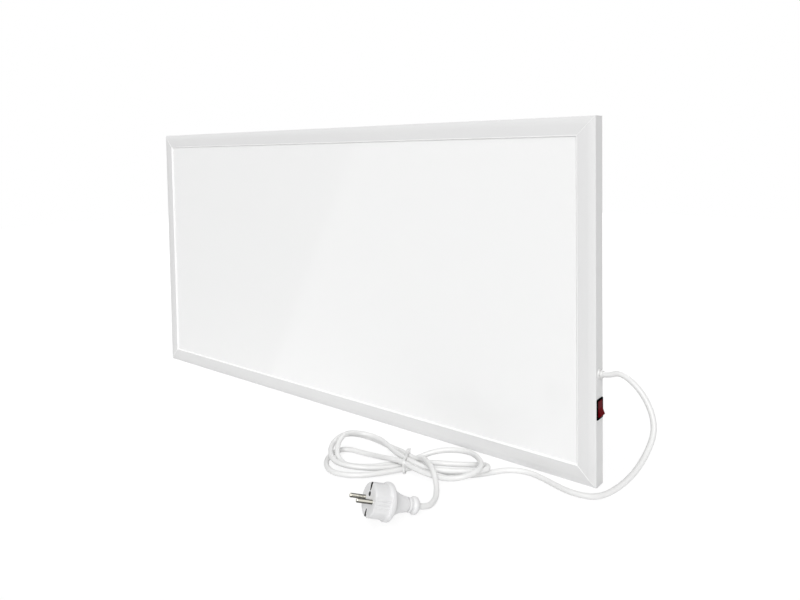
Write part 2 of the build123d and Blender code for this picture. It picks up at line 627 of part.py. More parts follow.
with BuildPart() as rocker_plunger:
    with BuildSketch(ROCKER_PLANE):
        with BuildLine():
            tip = Line((-PLUNGER_REACH + PLUNGER_R, PLUNGER_R), (-PLUNGER_TOP, PLUNGER_R))
            Polyline(tip @ 1, (-PLUNGER_TOP, 0), (-PLUNGER_REACH, 0))
            CenterArc((-PLUNGER_REACH + PLUNGER_R, 0), PLUNGER_R, 90, 90)
        make_face()
    revolve(axis=Axis(ROCKER_PLANE.origin, ROCKER_PLANE.x_dir))
save(rocker_plunger.part, "rocker_plunger")

lever_tilt = radians(LEVER_ANGLE)
LEVER_PLANE = Plane(origin=(LEVER_X, SWITCH_Y, SWITCH_Z), x_dir=(cos(lever_tilt), 0, -sin(lever_tilt)),
                    z_dir=(0, -1, 0))
with BuildPart() as contact_lever:
    with BuildSketch(LEVER_PLANE):
        with BuildLine():
            Polyline((LEVER_TOP, -LEVER_HALF), (LEVER_TOP, LEVER_HALF), (LEVER_UNDER, LEVER_HALF),
                     (LEVER_UNDER, SADDLE_HALF), (SADDLE_FOOT, SADDLE_HALF),
                     (SADDLE_FOOT, -SADDLE_HALF), (LEVER_UNDER, -SADDLE_HALF),
                     (LEVER_UNDER, -LEVER_HALF), close=True)
        make_face()
        Circle(LEVER_GROOVE_R, mode=Mode.SUBTRACT)
        with BuildLine():
            Polyline((0, 0), (2 * SADDLE_FOOT, 1.5 * LEVER_GROOVE_R), (2 * SADDLE_FOOT, -1.5 * LEVER_GROOVE_R),
                     close=True)
        make_face(mode=Mode.SUBTRACT)
    extrude(amount=LEVER_WIDTH / 2, both=True)
    with BuildSketch(Plane(origin=LEVER_PLANE.from_local_coords((LEVER_UNDER, CONTACT_AT, 0)),
                           x_dir=(0, 1, 0), z_dir=LEVER_PLANE.x_dir)):
        Circle(CONTACT_R)
    extrude(amount=-CONTACT_HEIGHT)
save(contact_lever.part, "contact_lever")

with BuildPart() as switch_terminals:
    with BuildSketch(Plane(origin=(0, SWITCH_Y, SWITCH_Z), x_dir=(1, 0, 0), z_dir=(0, -1, 0))):
        # centre blade, with the rounded edge that the lever rocks on
        with Locations(((HOUSING_BACK - BLADE_LENGTH + LEVER_X) / 2, 0)):
            Rectangle(LEVER_X - HOUSING_BACK + BLADE_LENGTH, BLADE)
        # outer blade, its inner end bent over to carry the fixed contact
        with Locations(((HOUSING_BACK - BLADE_LENGTH + FIXED_CONTACT_X - CONTACT_HEIGHT) / 2,
                        THROW_Z - SWITCH_Z)):
            Rectangle(FIXED_CONTACT_X - CONTACT_HEIGHT - HOUSING_BACK + BLADE_LENGTH, BLADE)
    extrude(amount=BLADE_WIDTH / 2, both=True)
    with BuildSketch(Plane(origin=(LEVER_X, SWITCH_Y, SWITCH_Z), x_dir=(1, 0, 0), z_dir=(0, -1, 0))):
        Circle(KNIFE_R)
    extrude(amount=LEVER_WIDTH / 2, both=True)
    with BuildSketch(side_plane(FIXED_CONTACT_X - CONTACT_HEIGHT, SWITCH_Y, THROW_Z)):
        Circle(CONTACT_R + CONTACT_MARGIN)
    extrude(amount=CONTACT_HEIGHT)
save(switch_terminals.part, "switch_terminals")

# ------------------------------------------------------------------ cord outlet
def outlet_plane(x):
    return side_plane(x, OUTLET_Y, OUTLET_Z)


OUTLET_TIP_X = SIDE_X + OUTLET_LENGTH
OUTLET_END_X = SIDE_X - OUTLET_INNER_LENGTH
RIDGE_X = SIDE_X - WALL - 2 * CUTOUT_CLEARANCE
with BuildPart() as cable_gland:
    with BuildSketch(Plane(origin=(0, OUTLET_Y, OUTLET_Z), x_dir=(1, 0, 0), z_dir=(0, -1, 0))):
        with BuildLine():
            bore_r = CORD_R + OUTLET_BORE_CLEARANCE
            taper = (OUTLET_BASE_R - OUTLET_TIP_R) / OUTLET_LENGTH
            groove_x = SIDE_X + 0.4 * OUTLET_LENGTH
            groove_r = OUTLET_BASE_R - taper * 0.4 * OUTLET_LENGTH
            Polyline((OUTLET_END_X, bore_r), (OUTLET_TIP_X, bore_r), (OUTLET_TIP_X, OUTLET_TIP_R),
                     (groove_x + 1.0, groove_r - taper), (groove_x + 1.0, groove_r - 1.2),
                     (groove_x, groove_r - 1.2), (groove_x, groove_r),
                     (SIDE_X, OUTLET_BASE_R), (SIDE_X, OUTLET_BODY_R), (RIDGE_X, OUTLET_BODY_R),
                     (RIDGE_X, OUTLET_BODY_R + OUTLET_RIDGE), (RIDGE_X - 1.4, OUTLET_BODY_R),
                     (OUTLET_END_X + 1, OUTLET_BODY_R), (OUTLET_END_X, OUTLET_BODY_R - 1), close=True)
        make_face()
    revolve(axis=Axis((0, OUTLET_Y, OUTLET_Z), (1, 0, 0)))
save(cable_gland.part, "cable_gland")

CABLE_END_X = OUTLET_END_X - 11.0
with BuildPart() as inlet_cable:
    with BuildSketch(outlet_plane(CABLE_END_X)):
        Circle(CORD_R)
    extrude(amount=OUTLET_TIP_X - CABLE_END_X)
save(inlet_cable.part, "inlet_cable")

# ------------------------------------------------------------------ wiring pocket
cutout_top = FOIL_BACK + CUTOUT_CAP + CUTOUT_BODY
with BuildPart() as thermal_cutout:
    with BuildSketch(layer_plane(FOIL_BACK)):
        with Locations((CUTOUT_X, CUTOUT_Z)):
            Circle(CUTOUT_CAP_R)
    extrude(amount=-CUTOUT_CAP)
    with BuildSketch(layer_plane(FOIL_BACK + CUTOUT_CAP)):
        with Locations((CUTOUT_X, CUTOUT_Z)):
            Circle(CUTOUT_BODY_R)
    extrude(amount=-CUTOUT_BODY)
save(thermal_cutout.part, "thermal_cutout")

with BuildPart() as cutout_blades:
    with BuildSketch(layer_plane(cutout_top)):
        blade_step = (CUTOUT_BLADE_REACH + CUTOUT_BLADE_ROOT) / 2
        with Locations((CUTOUT_X - blade_step, CUTOUT_Z), (CUTOUT_X + blade_step, CUTOUT_Z)):
            Rectangle(CUTOUT_BLADE_REACH - CUTOUT_BLADE_ROOT, CUTOUT_BLADE_WIDTH)
    extrude(amount=-BLADE)
save(cutout_blades.part, "cutout_blades")

with BuildPart() as terminal_block:
    with BuildSketch(layer_plane(COVER_DEPTH)):
        with Locations((BLOCK_X, BLOCK_Z)):
            RectangleRounded(BLOCK_WIDTH, BLOCK_HEIGHT, 1.0)
    extrude(amount=BLOCK_DEPTH)
    with BuildSketch(side_plane(BLOCK_X, BLOCK_WIRE_Y, BLOCK_Z)):
        Circle(WIRE_R + SCREW_CLEARANCE)
    extrude(amount=BLOCK_WIDTH, both=True, mode=Mode.SUBTRACT)
    with BuildSketch(layer_plane(COVER_DEPTH - BLOCK_DEPTH)):
        with Locations((BLOCK_X - BLOCK_SCREW_STEP, BLOCK_Z), (BLOCK_X + BLOCK_SCREW_STEP, BLOCK_Z)):
            Circle(BLOCK_SCREW_R)
    extrude(amount=-BLOCK_SCREW_DEPTH, mode=Mode.SUBTRACT)
save(terminal_block.part, "terminal_block")

with BuildPart() as earth_ring:
    with BuildSketch(side_plane(WEB_X, OUTLET_Y, EARTH_Z)):
        Circle(EARTH_RING_R)
        with Locations((0, -EARTH_BARREL_DROP + EARTH_BARREL_LENGTH)):
            Rectangle(2 * EARTH_BARREL_R, EARTH_BARREL_LENGTH)
        Circle(EARTH_SHANK_R + SCREW_CLEARANCE, mode=Mode.SUBTRACT)
    extrude(amount=-BLADE)
    with BuildSketch(Plane(origin=(EARTH_BARREL_X, OUTLET_Y, EARTH_BARREL_LOW))):
        Circle(EARTH_BARREL_R)
    extrude(amount=EARTH_BARREL_LENGTH)
save(earth_ring.part, "earth_ring")

with BuildPart() as earth_screw:
    with BuildSketch(side_plane(WEB_X - BLADE, OUTLET_Y, EARTH_Z)):
        Circle(EARTH_HEAD_R)
    extrude(amount=-EARTH_HEAD)
    chamfer(earth_screw.edges().group_by(Axis.X)[0], 0.25 * EARTH_HEAD)
    with BuildSketch(side_plane(WEB_X - BLADE, OUTLET_Y, EARTH_Z)):
        Circle(EARTH_SHANK_R)
    extrude(amount=BLADE + WEB + CHAMBER_WIDTH / 2)
save(earth_screw.part, "earth_screw")


def connector(tip, along, across, blade_width):
    """Push-on sleeve over a blade, with the wire's crimp barrel behind it."""
    mouth = Plane(origin=tip, x_dir=across, z_dir=along)
    with BuildPart() as sleeve:
        with BuildSketch(mouth.offset(-1.0)):
            Rectangle(blade_width + 2 * CONNECTOR_WALL, BLADE + 2 * CONNECTOR_WALL)
        extrude(amount=CONNECTOR_LENGTH - 0.5)
        with BuildSketch(mouth):
            Rectangle(blade_width + 2 * BLADE_CLEARANCE, BLADE + 2 * BLADE_CLEARANCE)
        extrude(amount=CONNECTOR_LENGTH, mode=Mode.SUBTRACT)
        with BuildSketch(mouth.offset(-1.0)):
            Circle(WIRE_R + 0.45)
        extrude(amount=1.0 - WIRE_TO_TIP)
    return sleeve.part


BLADE_TIP_X = HOUSING_BACK - BLADE_LENGTH
cutout_y = FRONT_Y + cutout_top + BLADE / 2
CONNECTORS = [((BLADE_TIP_X, SWITCH_Y, SWITCH_Z), (1, 0, 0), (0, 1, 0), BLADE_WIDTH),
              ((BLADE_TIP_X, SWITCH_Y, THROW_Z), (1, 0, 0), (0, 1, 0), BLADE_WIDTH),
              ((CUTOUT_X - CUTOUT_BLADE_REACH, cutout_y, CUTOUT_Z), (1, 0, 0), (0, 0, 1), CUTOUT_BLADE_WIDTH),
              ((CUTOUT_X + CUTOUT_BLADE_REACH, cutout_y, CUTOUT_Z), (-1, 0, 0), (0, 0, 1), CUTOUT_BLADE_WIDTH)]
with BuildPart() as push_on_connectors:
    for tip, along, across, blade_width in CONNECTORS:
        add(connector(tip, along, across, blade_width))
save(push_on_connectors.part, "push_on_connectors")


def wire(points):
    """Insulated wire along a route with equal bends."""
    with BuildPart() as strand:
        with BuildLine():
            route = FilletPolyline(*points, radius=WIRE_BEND)
        with BuildSketch(Plane(origin=route @ 0, z_dir=route % 0)):
            Circle(WIRE_R)
        sweep()
    return strand.part


live_y = OUTLET_Y
live_z = OUTLET_Z - 1.7
neutral_z = OUTLET_Z + 0.8
neutral_y = OUTLET_Y - 1.5
earth_y = OUTLET_Y + 1.5
tap_y = FRONT_Y + BUSBAR_BACK
right_end = CUTOUT_X + CUTOUT_BLADE_REACH + WIRE_TO_TIP
left_end = CUTOUT_X - CUTOUT_BLADE_REACH - WIRE_TO_TIP
switch_end = BLADE_TIP_X - WIRE_TO_TIP
live_x = WEB_X - LIVE_TURN
link_x = right_end + 4 * WIRE_R - 0.6
neutral_x = WEB_X - NEUTRAL_TURN
step_x = WEB_X - NEUTRAL_STEP
earth_x = WEB_X - EARTH_TURN
rise_z = EARTH_BARREL_LOW - 1.5 * WIRE_BEND
WIRES_LIVE = [
    [(CABLE_END_X, live_y, live_z), (live_x, live_y, live_z), (live_x, SWITCH_Y, SWITCH_Z),
     (switch_end, SWITCH_Y, SWITCH_Z)],
    [(switch_end, SWITCH_Y, THROW_Z), (link_x, SWITCH_Y, THROW_Z), (link_x, cutout_y, THROW_Z + CONTACT_AT),
     (link_x, cutout_y, CUTOUT_Z), (right_end, cutout_y, CUTOUT_Z)],
    [(left_end, cutout_y, CUTOUT_Z), (CHANNEL_X, cutout_y, CUTOUT_Z), (CHANNEL_X, cutout_y, BUSBAR_LOW_Z),
     (CHANNEL_X, tap_y, BUSBAR_LOW_Z)]]
WIRES_NEUTRAL = [
    [(CABLE_END_X, neutral_y, neutral_z), (neutral_x, neutral_y, neutral_z), (step_x, BLOCK_WIRE_Y, BLOCK_Z),
     (BLOCK_X + BLOCK_SCREW_STEP, BLOCK_WIRE_Y, BLOCK_Z)],
    [(BLOCK_X - BLOCK_SCREW_STEP, BLOCK_WIRE_Y, BLOCK_Z), (CHANNEL_X, BLOCK_WIRE_Y, BLOCK_Z),
     (CHANNEL_X, BLOCK_WIRE_Y, BUSBAR_TOP_Z), (CHANNEL_X, tap_y, BUSBAR_TOP_Z)]]
WIRES_EARTH = [
    [(CABLE_END_X, earth_y, neutral_z), (earth_x, earth_y, neutral_z), (earth_x, earth_y, rise_z),
     (EARTH_BARREL_X, OUTLET_Y, rise_z), (EARTH_BARREL_X, OUTLET_Y, EARTH_BARREL_LOW)]]
for wire_name, wire_routes in (("wires_live", WIRES_LIVE), ("wires_neutral", WIRES_NEUTRAL),
                               ("wire_earth", WIRES_EARTH)):
    with BuildPart() as wires:
        for wire_route in wire_routes:
            add(wire(wire_route))
    save(wires.part, wire_name)

# ------------------------------------------------------------------ plug, lying on the floor
# tilt at which the collar's rim and the bulb both rest on the floor
rest_arm = COLLAR_R - COLLAR_ROUND - BULB_RING_R
PLUG_PITCH = atan2(rest_arm, BULB_AT) - asin((BULB_ROUND - COLLAR_ROUND) / sqrt(rest_arm ** 2 + BULB_AT ** 2))
PLUG_Z = (COLLAR_R - COLLAR_ROUND) * cos(PLUG_PITCH) + COLLAR_ROUND + 0.01
plug_axis = Vector(cos(PLUG_PITCH) * cos(PLUG_HEADING), cos(PLUG_PITCH) * sin(PLUG_HEADING), sin(PLUG_PITCH))
level = Vector(-sin(PLUG_HEADING), cos(PLUG_HEADING), 0)
plug_up = plug_axis.cross(level)
pin_line = level * cos(PLUG_ROLL) + plug_up * sin(PLUG_ROLL)
earth_line = plug_axis.cross(pin_line)
PLUG_MIDDLE = Vector(PLUG_X, PLUG_Y, PLUG_Z)
PROFILE_PLANE = Plane(origin=PLUG_MIDDLE, x_dir=pin_line, z_dir=pin_line.cross(plug_axis))


def plug_plane(t):
    """Across the plug at t from the collar's middle: local x along the pins' line, local y to the earth side."""
    return Plane(origin=PLUG_MIDDLE + plug_axis * t, x_dir=pin_line, z_dir=plug_axis)


collar_ring_r = COLLAR_R - COLLAR_ROUND
collar_step = sqrt(COLLAR_ROUND ** 2 - (PLUG_BODY_R - collar_ring_r) ** 2)
bulb_side = RING_R - BULB_RING_R
bulb_step = sqrt(BULB_ROUND ** 2 - bulb_side ** 2)
with BuildPart() as plug_body:
    with BuildSketch(PROFILE_PLANE):
        with BuildLine():
            Polyline((0, -PLUG_END), (0, PLUG_FACE), (PLUG_FACE_R - PLUG_FACE_ROUND, PLUG_FACE))
            RadiusArc((PLUG_FACE_R - PLUG_FACE_ROUND, PLUG_FACE),
                      (PLUG_FACE_R, PLUG_FACE - PLUG_FACE_ROUND), PLUG_FACE_ROUND)
            Line((PLUG_FACE_R, PLUG_FACE - PLUG_FACE_ROUND), (PLUG_BODY_R, collar_step))
            ThreePointArc((PLUG_BODY_R, collar_step), (COLLAR_R, 0), (collar_ring_r, -COLLAR_ROUND))
            Line((collar_ring_r, -COLLAR_ROUND), (SHOULDER_R, -SHOULDER_AT))
            ThreePointArc((SHOULDER_R, -SHOULDER_AT), (NECK_CURVE_R, -NECK_CURVE_AT), (NECK_TOP_R, -NECK_TOP_AT))
            ring_at = NECK_END + GROOVE
            Polyline((NECK_TOP_R, -NECK_TOP_AT), (NECK_R, -NECK_END), (GROOVE_R, -NECK_END),
                     (GROOVE_R, -ring_at), (RING_R, -ring_at), (RING_R, -ring_at - RING),
                     (GROOVE_R, -ring_at - RING), (GROOVE_R, -BULB_AT + bulb_step), (RING_R, -BULB_AT + bulb_step))
            ThreePointArc((RING_R, -BULB_AT + bulb_step), (BULB_RING_R + BULB_ROUND, -BULB_AT),
                          (RING_R, -BULB_AT - bulb_step))
            Polyline((RING_R, -BULB_AT - bulb_step), (PLUG_END_R, -PLUG_END), (0, -PLUG_END))
        make_face()
    revolve(axis=Axis(PLUG_MIDDLE, plug_axis))
    # flats beside the pins, each with three grip ridges left standing
    flat_width = COLLAR_R - FLAT_AT
    with BuildSketch(plug_plane(collar_step + 0.5 * COLLAR_ROUND)):
        for side in (-1, 1):
            with Locations((side * (FLAT_AT + flat_width / 2), 0)):
                Rectangle(flat_width, 1.5 * COLLAR_R)
            with Locations(*[Location((side * (FLAT_AT + GRIP_RISE / 2), step * GRIP_PITCH)) for step in (-1, 0, 1)]):
                Rectangle(GRIP_RISE, GRIP_WIDTH, mode=Mode.SUBTRACT)
    extrude(amount=PLUG_FACE, mode=Mode.SUBTRACT)
    # pin holes, earth hole and the grooves of the earth clips
    with BuildSketch(plug_plane(PLUG_FACE)):
        with Locations((-PIN_STEP, 0), (PIN_STEP, 0)):
            Circle(PIN_ROOT_R + SCREW_CLEARANCE)
    extrude(amount=-PIN_ROOT, mode=Mode.SUBTRACT)
    with BuildSketch(plug_plane(PLUG_FACE)):
        with Locations((0, EARTH_HOLE_STEP)):
            Circle(EARTH_HOLE_R)
    extrude(amount=-EARTH_HOLE_DEPTH, mode=Mode.SUBTRACT)
    with BuildSketch(plug_plane(PLUG_FACE)):
        groove_height = COLLAR_R - CLIP_GROOVE_FLOOR
        groove_middle = CLIP_GROOVE_FLOOR + groove_height / 2
        with Locations((0, groove_middle), (0, -groove_middle)):
            Rectangle(CLIP_GROOVE_WIDTH, groove_height)
    extrude(amount=-CLIP_GROOVE_LENGTH, mode=Mode.SUBTRACT)
save(plug_body.part, "plug_body")

with BuildPart() as plug_pins:
    with BuildSketch(plug_plane(PLUG_FACE - PIN_ROOT)):
        with Locations((-PIN_STEP, 0), (PIN_STEP, 0)):
            Circle(PIN_ROOT_R)
    extrude(amount=PIN_ROOT + PIN_SHOULDER)
    with BuildSketch(plug_plane(PLUG_FACE + PIN_SHOULDER)):
        with Locations((-PIN_STEP, 0), (PIN_STEP, 0)):
            Circle(PIN_R)
    extrude(amount=PIN_LENGTH - PIN_SHOULDER)
    pin_tips = plug_pins.edges().filter_by(GeomType.CIRCLE).sort_by(Axis(PLUG_MIDDLE, plug_axis))[-2:]
    fillet(pin_tips, PIN_TIP_ROUND)
save(plug_pins.part, "plug_pins")

clip_foot = PLUG_FACE - CLIP_GROOVE_LENGTH
clip_bend = clip_foot + 0.7 * CLIP_GROOVE_LENGTH
clip_tip = PLUG_FACE - CLIP
CLIP_TIP_R = CLIP_FOOT_R + 0.2
with BuildPart() as plug_earth_clips:
    for side in (-1, 1):
        clip_plane = Plane(origin=PLUG_MIDDLE, x_dir=earth_line * side, z_dir=(earth_line * side).cross(plug_axis))
        with BuildSketch(clip_plane):
            with BuildLine():
                Polyline((CLIP_FOOT_R, clip_foot), (CLIP_BACK_R, clip_foot + 4), (CLIP_BACK_R, clip_bend),
                         (CLIP_TIP_R, clip_tip), (CLIP_TIP_R + CLIP, clip_tip + 0.3),
                         (CLIP_BACK_R + CLIP, clip_bend + 0.4), (CLIP_BACK_R + CLIP, clip_foot + 3.6),
                         (CLIP_FOOT_R + 1.2 * CLIP, clip_foot), close=True)
            make_face()
        extrude(amount=CLIP_WIDTH / 2, both=True)
save(plug_earth_clips.part, "plug_earth_clips")

# ------------------------------------------------------------------ mains lead on the floor
plug_end = PLUG_MIDDLE - plug_axis * PLUG_END
plug_approach = plug_end - plug_axis * PLUG_APPROACH
# the lead: to the right of the panel's side, across the floor to the hank
LEAD_ROUTE = [(OUTLET_TIP_X, OUTLET_Y, OUTLET_Z)]
for lead_x, lead_y, lead_z in [(13, OUTLET_Y, OUTLET_Z), (26, 1.5, 141.0), (44, -2, 138.0), (61, -6, 122),
                               (70, -11, 98), (69, -17, 72), (56, -24, 44), (35, -30, 19), (12, -36, CORD_R),
                               (-14, -42, CORD_R), (-38, -37, CORD_R), (-58, -30, CORD_R), (-84, -25, CORD_R),
                               (-107, -35, CORD_R), (-119, -54, CORD_R), (-135, -76, CORD_R),
                               (-152, -87, CORD_R), (-174, -89.5, CORD_R)]:
    LEAD_ROUTE.append((SIDE_X + lead_x, lead_y, lead_z))

# the hank: six strands cross at the tie, in two layers, and five loops join them
STRANDS = {"a": (LOWER_Z, LOWER_HEADING, -1), "b": (UPPER_Z, UPPER_HEADING, -1), "c": (LOWER_Z, LOWER_HEADING, 0),
           "d": (UPPER_Z, UPPER_HEADING, 0), "e": (LOWER_Z, LOWER_HEADING, 1), "f": (UPPER_Z, UPPER_HEADING, 1)}
# side, strands joined, direction, reach, width station, near and far half width, three heights
LOOPS = [(-1, "a", "b", 201.0, 106.8, 74.5, 43.0, 24.7, (4.7, 4.6, 4.2)),
         (1, "b", "e", 18.9, 99.9, 38.5, 27.9, 34.1, (11.5, 20.2, 17.3)),
         (-1, "e", "d", 187.9, 98.3, 71.5, 32.7, 32.6, (3.5, 26.2, 15.0)),
         (1, "d", "c", 33.4, 103.7, 42.4, 21.6, 21.0, (9.8, 11.4, 3.5)),
         (-1, "c", "f", 180.0, 106.4, 64.8, 57.5, 28.0, (7.1, 21.4, 5.9))]


def strand_end(strand, side):
    """Point at one end of a straight strand under the tie, and the strand's direction."""
    z, heading, offset = STRANDS[strand]
    run = Vector(cos(heading), sin(heading), 0)
    across = Vector(-sin(heading), cos(heading), 0)
    point = Vector(TIE_X, TIE_Y, z) + run * (side * STRAND_HALF) + across * (offset * STRAND_PITCH)
    return point, run


def biarc_joint(start, start_direction, end, end_direction):
    """Middle point of the two arcs that join two directed points, and the direction there."""
    chord = end - start
    both = start_direction + end_direction
    a = 2 * (1 - start_direction.dot(end_direction))
    b = 2 * chord.dot(both)
    c = -chord.dot(chord)
    reach = -c / b if abs(a) < 1e-9 else (-b + sqrt(b * b - 4 * a * c)) / (2 * a)
    near = start + start_direction * reach
    far = end - end_direction * reach
    return (near + far) * 0.5, (far - near).normalized()


def loop_knots(loop):
    """Directed points round one loop, from strand to strand."""
    side, first, last, direction, reach, station, near, far, heights = loop
    start, start_run = strand_end(first, side)
    end, end_run = strand_end(last, side)
    out = Vector(cos(radians(direction)), sin(radians(direction)), 0)
    turn = Vector(-out.Y, out.X, 0) * (-side)
    middle = Vector(TIE_X, TIE_Y, 0)
    up = Vector(0, 0, 1)
    return [(start, start_run * side),
            (middle + out * station + turn * near + up * heights[0], out),
            (middle + out * reach + up * heights[1], turn * -1),
            (middle + out * station - turn * far + up * heights[2], out * -1),
            (end, end_run * -side)]


hank_start = Vector(*LEAD_ROUTE[-1])
hank_heading = (hank_start - Vector(*LEAD_ROUTE[-2])).normalized()
first_end, first_run = strand_end("a", 1)
last_start, last_run = strand_end("f", 1)
hank_knots = [(hank_start, hank_heading), (hank_start + hank_heading * HANK_LEAD_IN, hank_heading),
              (first_end, first_run * -1)]
for hank_loop in LOOPS:
    hank_knots.extend(loop_knots(hank_loop))
hank_end = last_start + last_run * (HANK_TAIL - STRAND_HALF)
hank_knots.append((hank_end, last_run))


def arc_points(start, direction, end):
    """Points along the arc that leaves start in this direction and meets end; also its radius."""
    chord = end - start
    turn = acos(max(-1.0, min(1.0, chord.normalized().dot(direction))))
    if turn < 1e-6:
        return [start + chord * (step / 24) for step in range(24)], 1e9
    radius = chord.length / (2 * sin(turn))
    inward = (chord - direction * chord.dot(direction)).normalized()
    centre = start + inward * radius
    return [centre - inward * (radius * cos(2 * turn * step / 24))
            + direction * (radius * sin(2 * turn * step / 24)) for step in range(24)], radius


def least_gap(points, skip=25.0):
    """Least distance between passes of one route, skipping neighbours along it."""
    run = [0.0]
    for before, after in zip(points, points[1:]):
        run.append(run[-1] + (after - before).length)
    thinned = [(run[0], points[0])]
    for at, point in zip(run, points):
        if at - thinned[-1][0] >= 2.0:
            thinned.append((at, point))
    flat = [(at, point.X, point.Y, point.Z) for at, point in thinned]
    least = 1e9
    for index, one in enumerate(flat):
        for other in flat[index + 1:]:
            if other[0] - one[0] > skip:
                apart = sqrt((one[1] - other[1]) ** 2 + (one[2] - other[2]) ** 2 + (one[3] - other[3]) ** 2)
                least = min(least, apart)
    return least, run[-1]


hank_points = []
hank_radii = []
with BuildPart() as cord_hank:
    with BuildLine():
        for (knot, heading), (next_knot, next_heading) in zip(hank_knots, hank_knots[1:]):
            chord = next_knot - knot
            if chord.normalized().dot(heading) > 1 - 1e-9 and heading.dot(next_heading) > 1 - 1e-9:
                Line(knot, next_knot)
                hank_points.extend([knot + chord * (step / 8) for step in range(8)])
                continue
            joint, joint_heading = biarc_joint(knot, heading, next_knot, next_heading)
            TangentArc(knot, joint, tangent=heading)
            TangentArc(joint, next_knot, tangent=joint_heading)
            for arc in ((knot, heading, joint), (joint, joint_heading, next_knot)):
                arc_list, arc_radius = arc_points(*arc)
                hank_points.extend(arc_list)
                hank_radii.append(arc_radius)
    with BuildSketch(Plane(origin=hank_start, z_dir=hank_heading)):
        Circle(CORD_R)
    sweep()
save(cord_hank.part, "cord_hank")
hank_points.append(hank_end)
hank_least, hank_length = least_gap(hank_points)
print("cord_hank length", round(hank_length, 1), "least radius", round(min(hank_radii), 1),
      "least gap", round(hank_least - 2 * CORD_R, 2), "volume ratio",
      round(cord_hank.part.volume / (hank_length * pi * CORD_R ** 2), 4))


def cord(points, name):
    """A free length of cord: straight runs joined by arcs, each as wide as its runs allow."""
    points = [Vector(point) for point in points]
    radii = []
    length = 0.0
    with BuildPart() as tube:
        with BuildLine():
            at = points[0]
            for before, corner, after in zip(points, points[1:], points[2:]):
                into = (corner - before).normalized()
                out = (after - corner).normalized()
                reach = CORD_FILLET * min((corner - before).length, (after - corner).length)
                turn = acos(into.dot(out))
                Line(at, corner - into * reach)
                TangentArc(corner - into * reach, corner + out * reach, tangent=into)
                length += (corner - into * reach - at).length + reach / tan(turn / 2) * turn
                radii.append(round(reach / tan(turn / 2), 1))
                at = corner + out * reach
            Line(at, points[-1])
            length += (points[-1] - at).length
        with BuildSketch(Plane(origin=points[0], z_dir=points[1] - points[0])):
            Circle(CORD_R)
        sweep()
    save(tube.part, name)
    print(name, "length", round(length, 1), "radii", radii, "volume ratio",
          round(tube.part.volume / (length * pi * CORD_R ** 2), 4))


TAIL_ROUTE = [hank_end, hank_end + last_run * TAIL_LEAD_OUT]
for tail_x, tail_y, tail_z in [(30.6, 2, 21), (42.6, -3, 24.5), (55.6, -12, 20), (66.6, -24, 11.5),
                               (75.1, -37, 6), (81.1, -51, 4.2)]:
    TAIL_ROUTE.append((TIE_X + tail_x, TIE_Y + tail_y, tail_z))
TAIL_ROUTE.extend([plug_approach, plug_end])
cord(LEAD_ROUTE, "cord_lead")
cord(TAIL_ROUTE, "cord_tail")

# cable tie round the crossing strands
TIE_HEADING = (LOWER_HEADING + UPPER_HEADING) / 2
tie_plane = Plane(origin=(TIE_X, TIE_Y, 0), x_dir=(-sin(TIE_HEADING), cos(TIE_HEADING), 0),
                  z_dir=(cos(TIE_HEADING), sin(TIE_HEADING), 0))
with BuildPart() as cable_tie:
    with BuildSketch(tie_plane):
        with Locations((0, (TIE_LOW + TIE_HIGH) / 2)):
            RectangleRounded(2 * (TIE_HALF + TIE_BAND), TIE_HIGH - TIE_LOW + 2 * TIE_BAND, 4.4)
            RectangleRounded(2 * TIE_HALF, TIE_HIGH - TIE_LOW, 3.4, mode=Mode.SUBTRACT)
    extrude(amount=TIE_WIDTH / 2, both=True)
    with BuildSketch(tie_plane):
        with Locations((TIE_HALF - 6, TIE_HIGH + TIE_BAND + 1.2)):
            Rectangle(4.6, 2.6)
        with Locations((TIE_HALF - 1.6, TIE_HIGH + TIE_BAND + 1.4)):
            Rectangle(5.0, TIE_BAND)
    extrude(amount=TIE_WIDTH * 0.75, both=True)
save(cable_tie.part, "cable_tie")
print("plug tilt", round(degrees(PLUG_PITCH), 2), "plug end", plug_end,
      "lowest plug point", round(plug_body.part.bounding_box().min.Z, 3))
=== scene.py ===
"""Looks of the infrared panel heater: coats, glass, cord, plug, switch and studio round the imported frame.

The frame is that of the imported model: +X to the right, the front faces -Y, the floor is at z = 0.
The pieces are given in millimetres and scaled by MM; the studio and the cord's length are in metres.
"""
from math import atan2, cos, pi, radians, sin, sqrt

import bmesh
import bpy
from mathutils import Matrix, Vector

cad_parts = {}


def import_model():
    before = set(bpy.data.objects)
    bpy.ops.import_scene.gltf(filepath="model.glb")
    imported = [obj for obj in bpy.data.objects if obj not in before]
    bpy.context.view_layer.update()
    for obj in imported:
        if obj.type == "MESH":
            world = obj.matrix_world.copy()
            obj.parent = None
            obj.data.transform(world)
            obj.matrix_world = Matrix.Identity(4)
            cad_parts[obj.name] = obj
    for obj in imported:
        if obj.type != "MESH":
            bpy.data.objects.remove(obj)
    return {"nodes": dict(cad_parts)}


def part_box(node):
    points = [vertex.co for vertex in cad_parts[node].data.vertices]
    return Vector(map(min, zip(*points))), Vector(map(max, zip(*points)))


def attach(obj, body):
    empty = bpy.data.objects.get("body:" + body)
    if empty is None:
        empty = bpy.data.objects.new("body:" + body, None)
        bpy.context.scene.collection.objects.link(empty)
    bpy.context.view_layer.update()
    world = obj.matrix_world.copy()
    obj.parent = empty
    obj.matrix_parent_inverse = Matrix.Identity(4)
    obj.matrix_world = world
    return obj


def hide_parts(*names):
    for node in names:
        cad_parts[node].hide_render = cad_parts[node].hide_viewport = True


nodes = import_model()["nodes"]
MM = 0.001
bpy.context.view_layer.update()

# ------------------------------------------------------------------ camera
FOCAL_PIXELS = 691.435
PICTURE_WIDTH = 800
PICTURE_HEIGHT = 600
PRINCIPAL_ROW = 184.685  # the row that the lens axis meets
SENSOR_WIDTH = 36.0
NEAREST_SEEN = 0.01
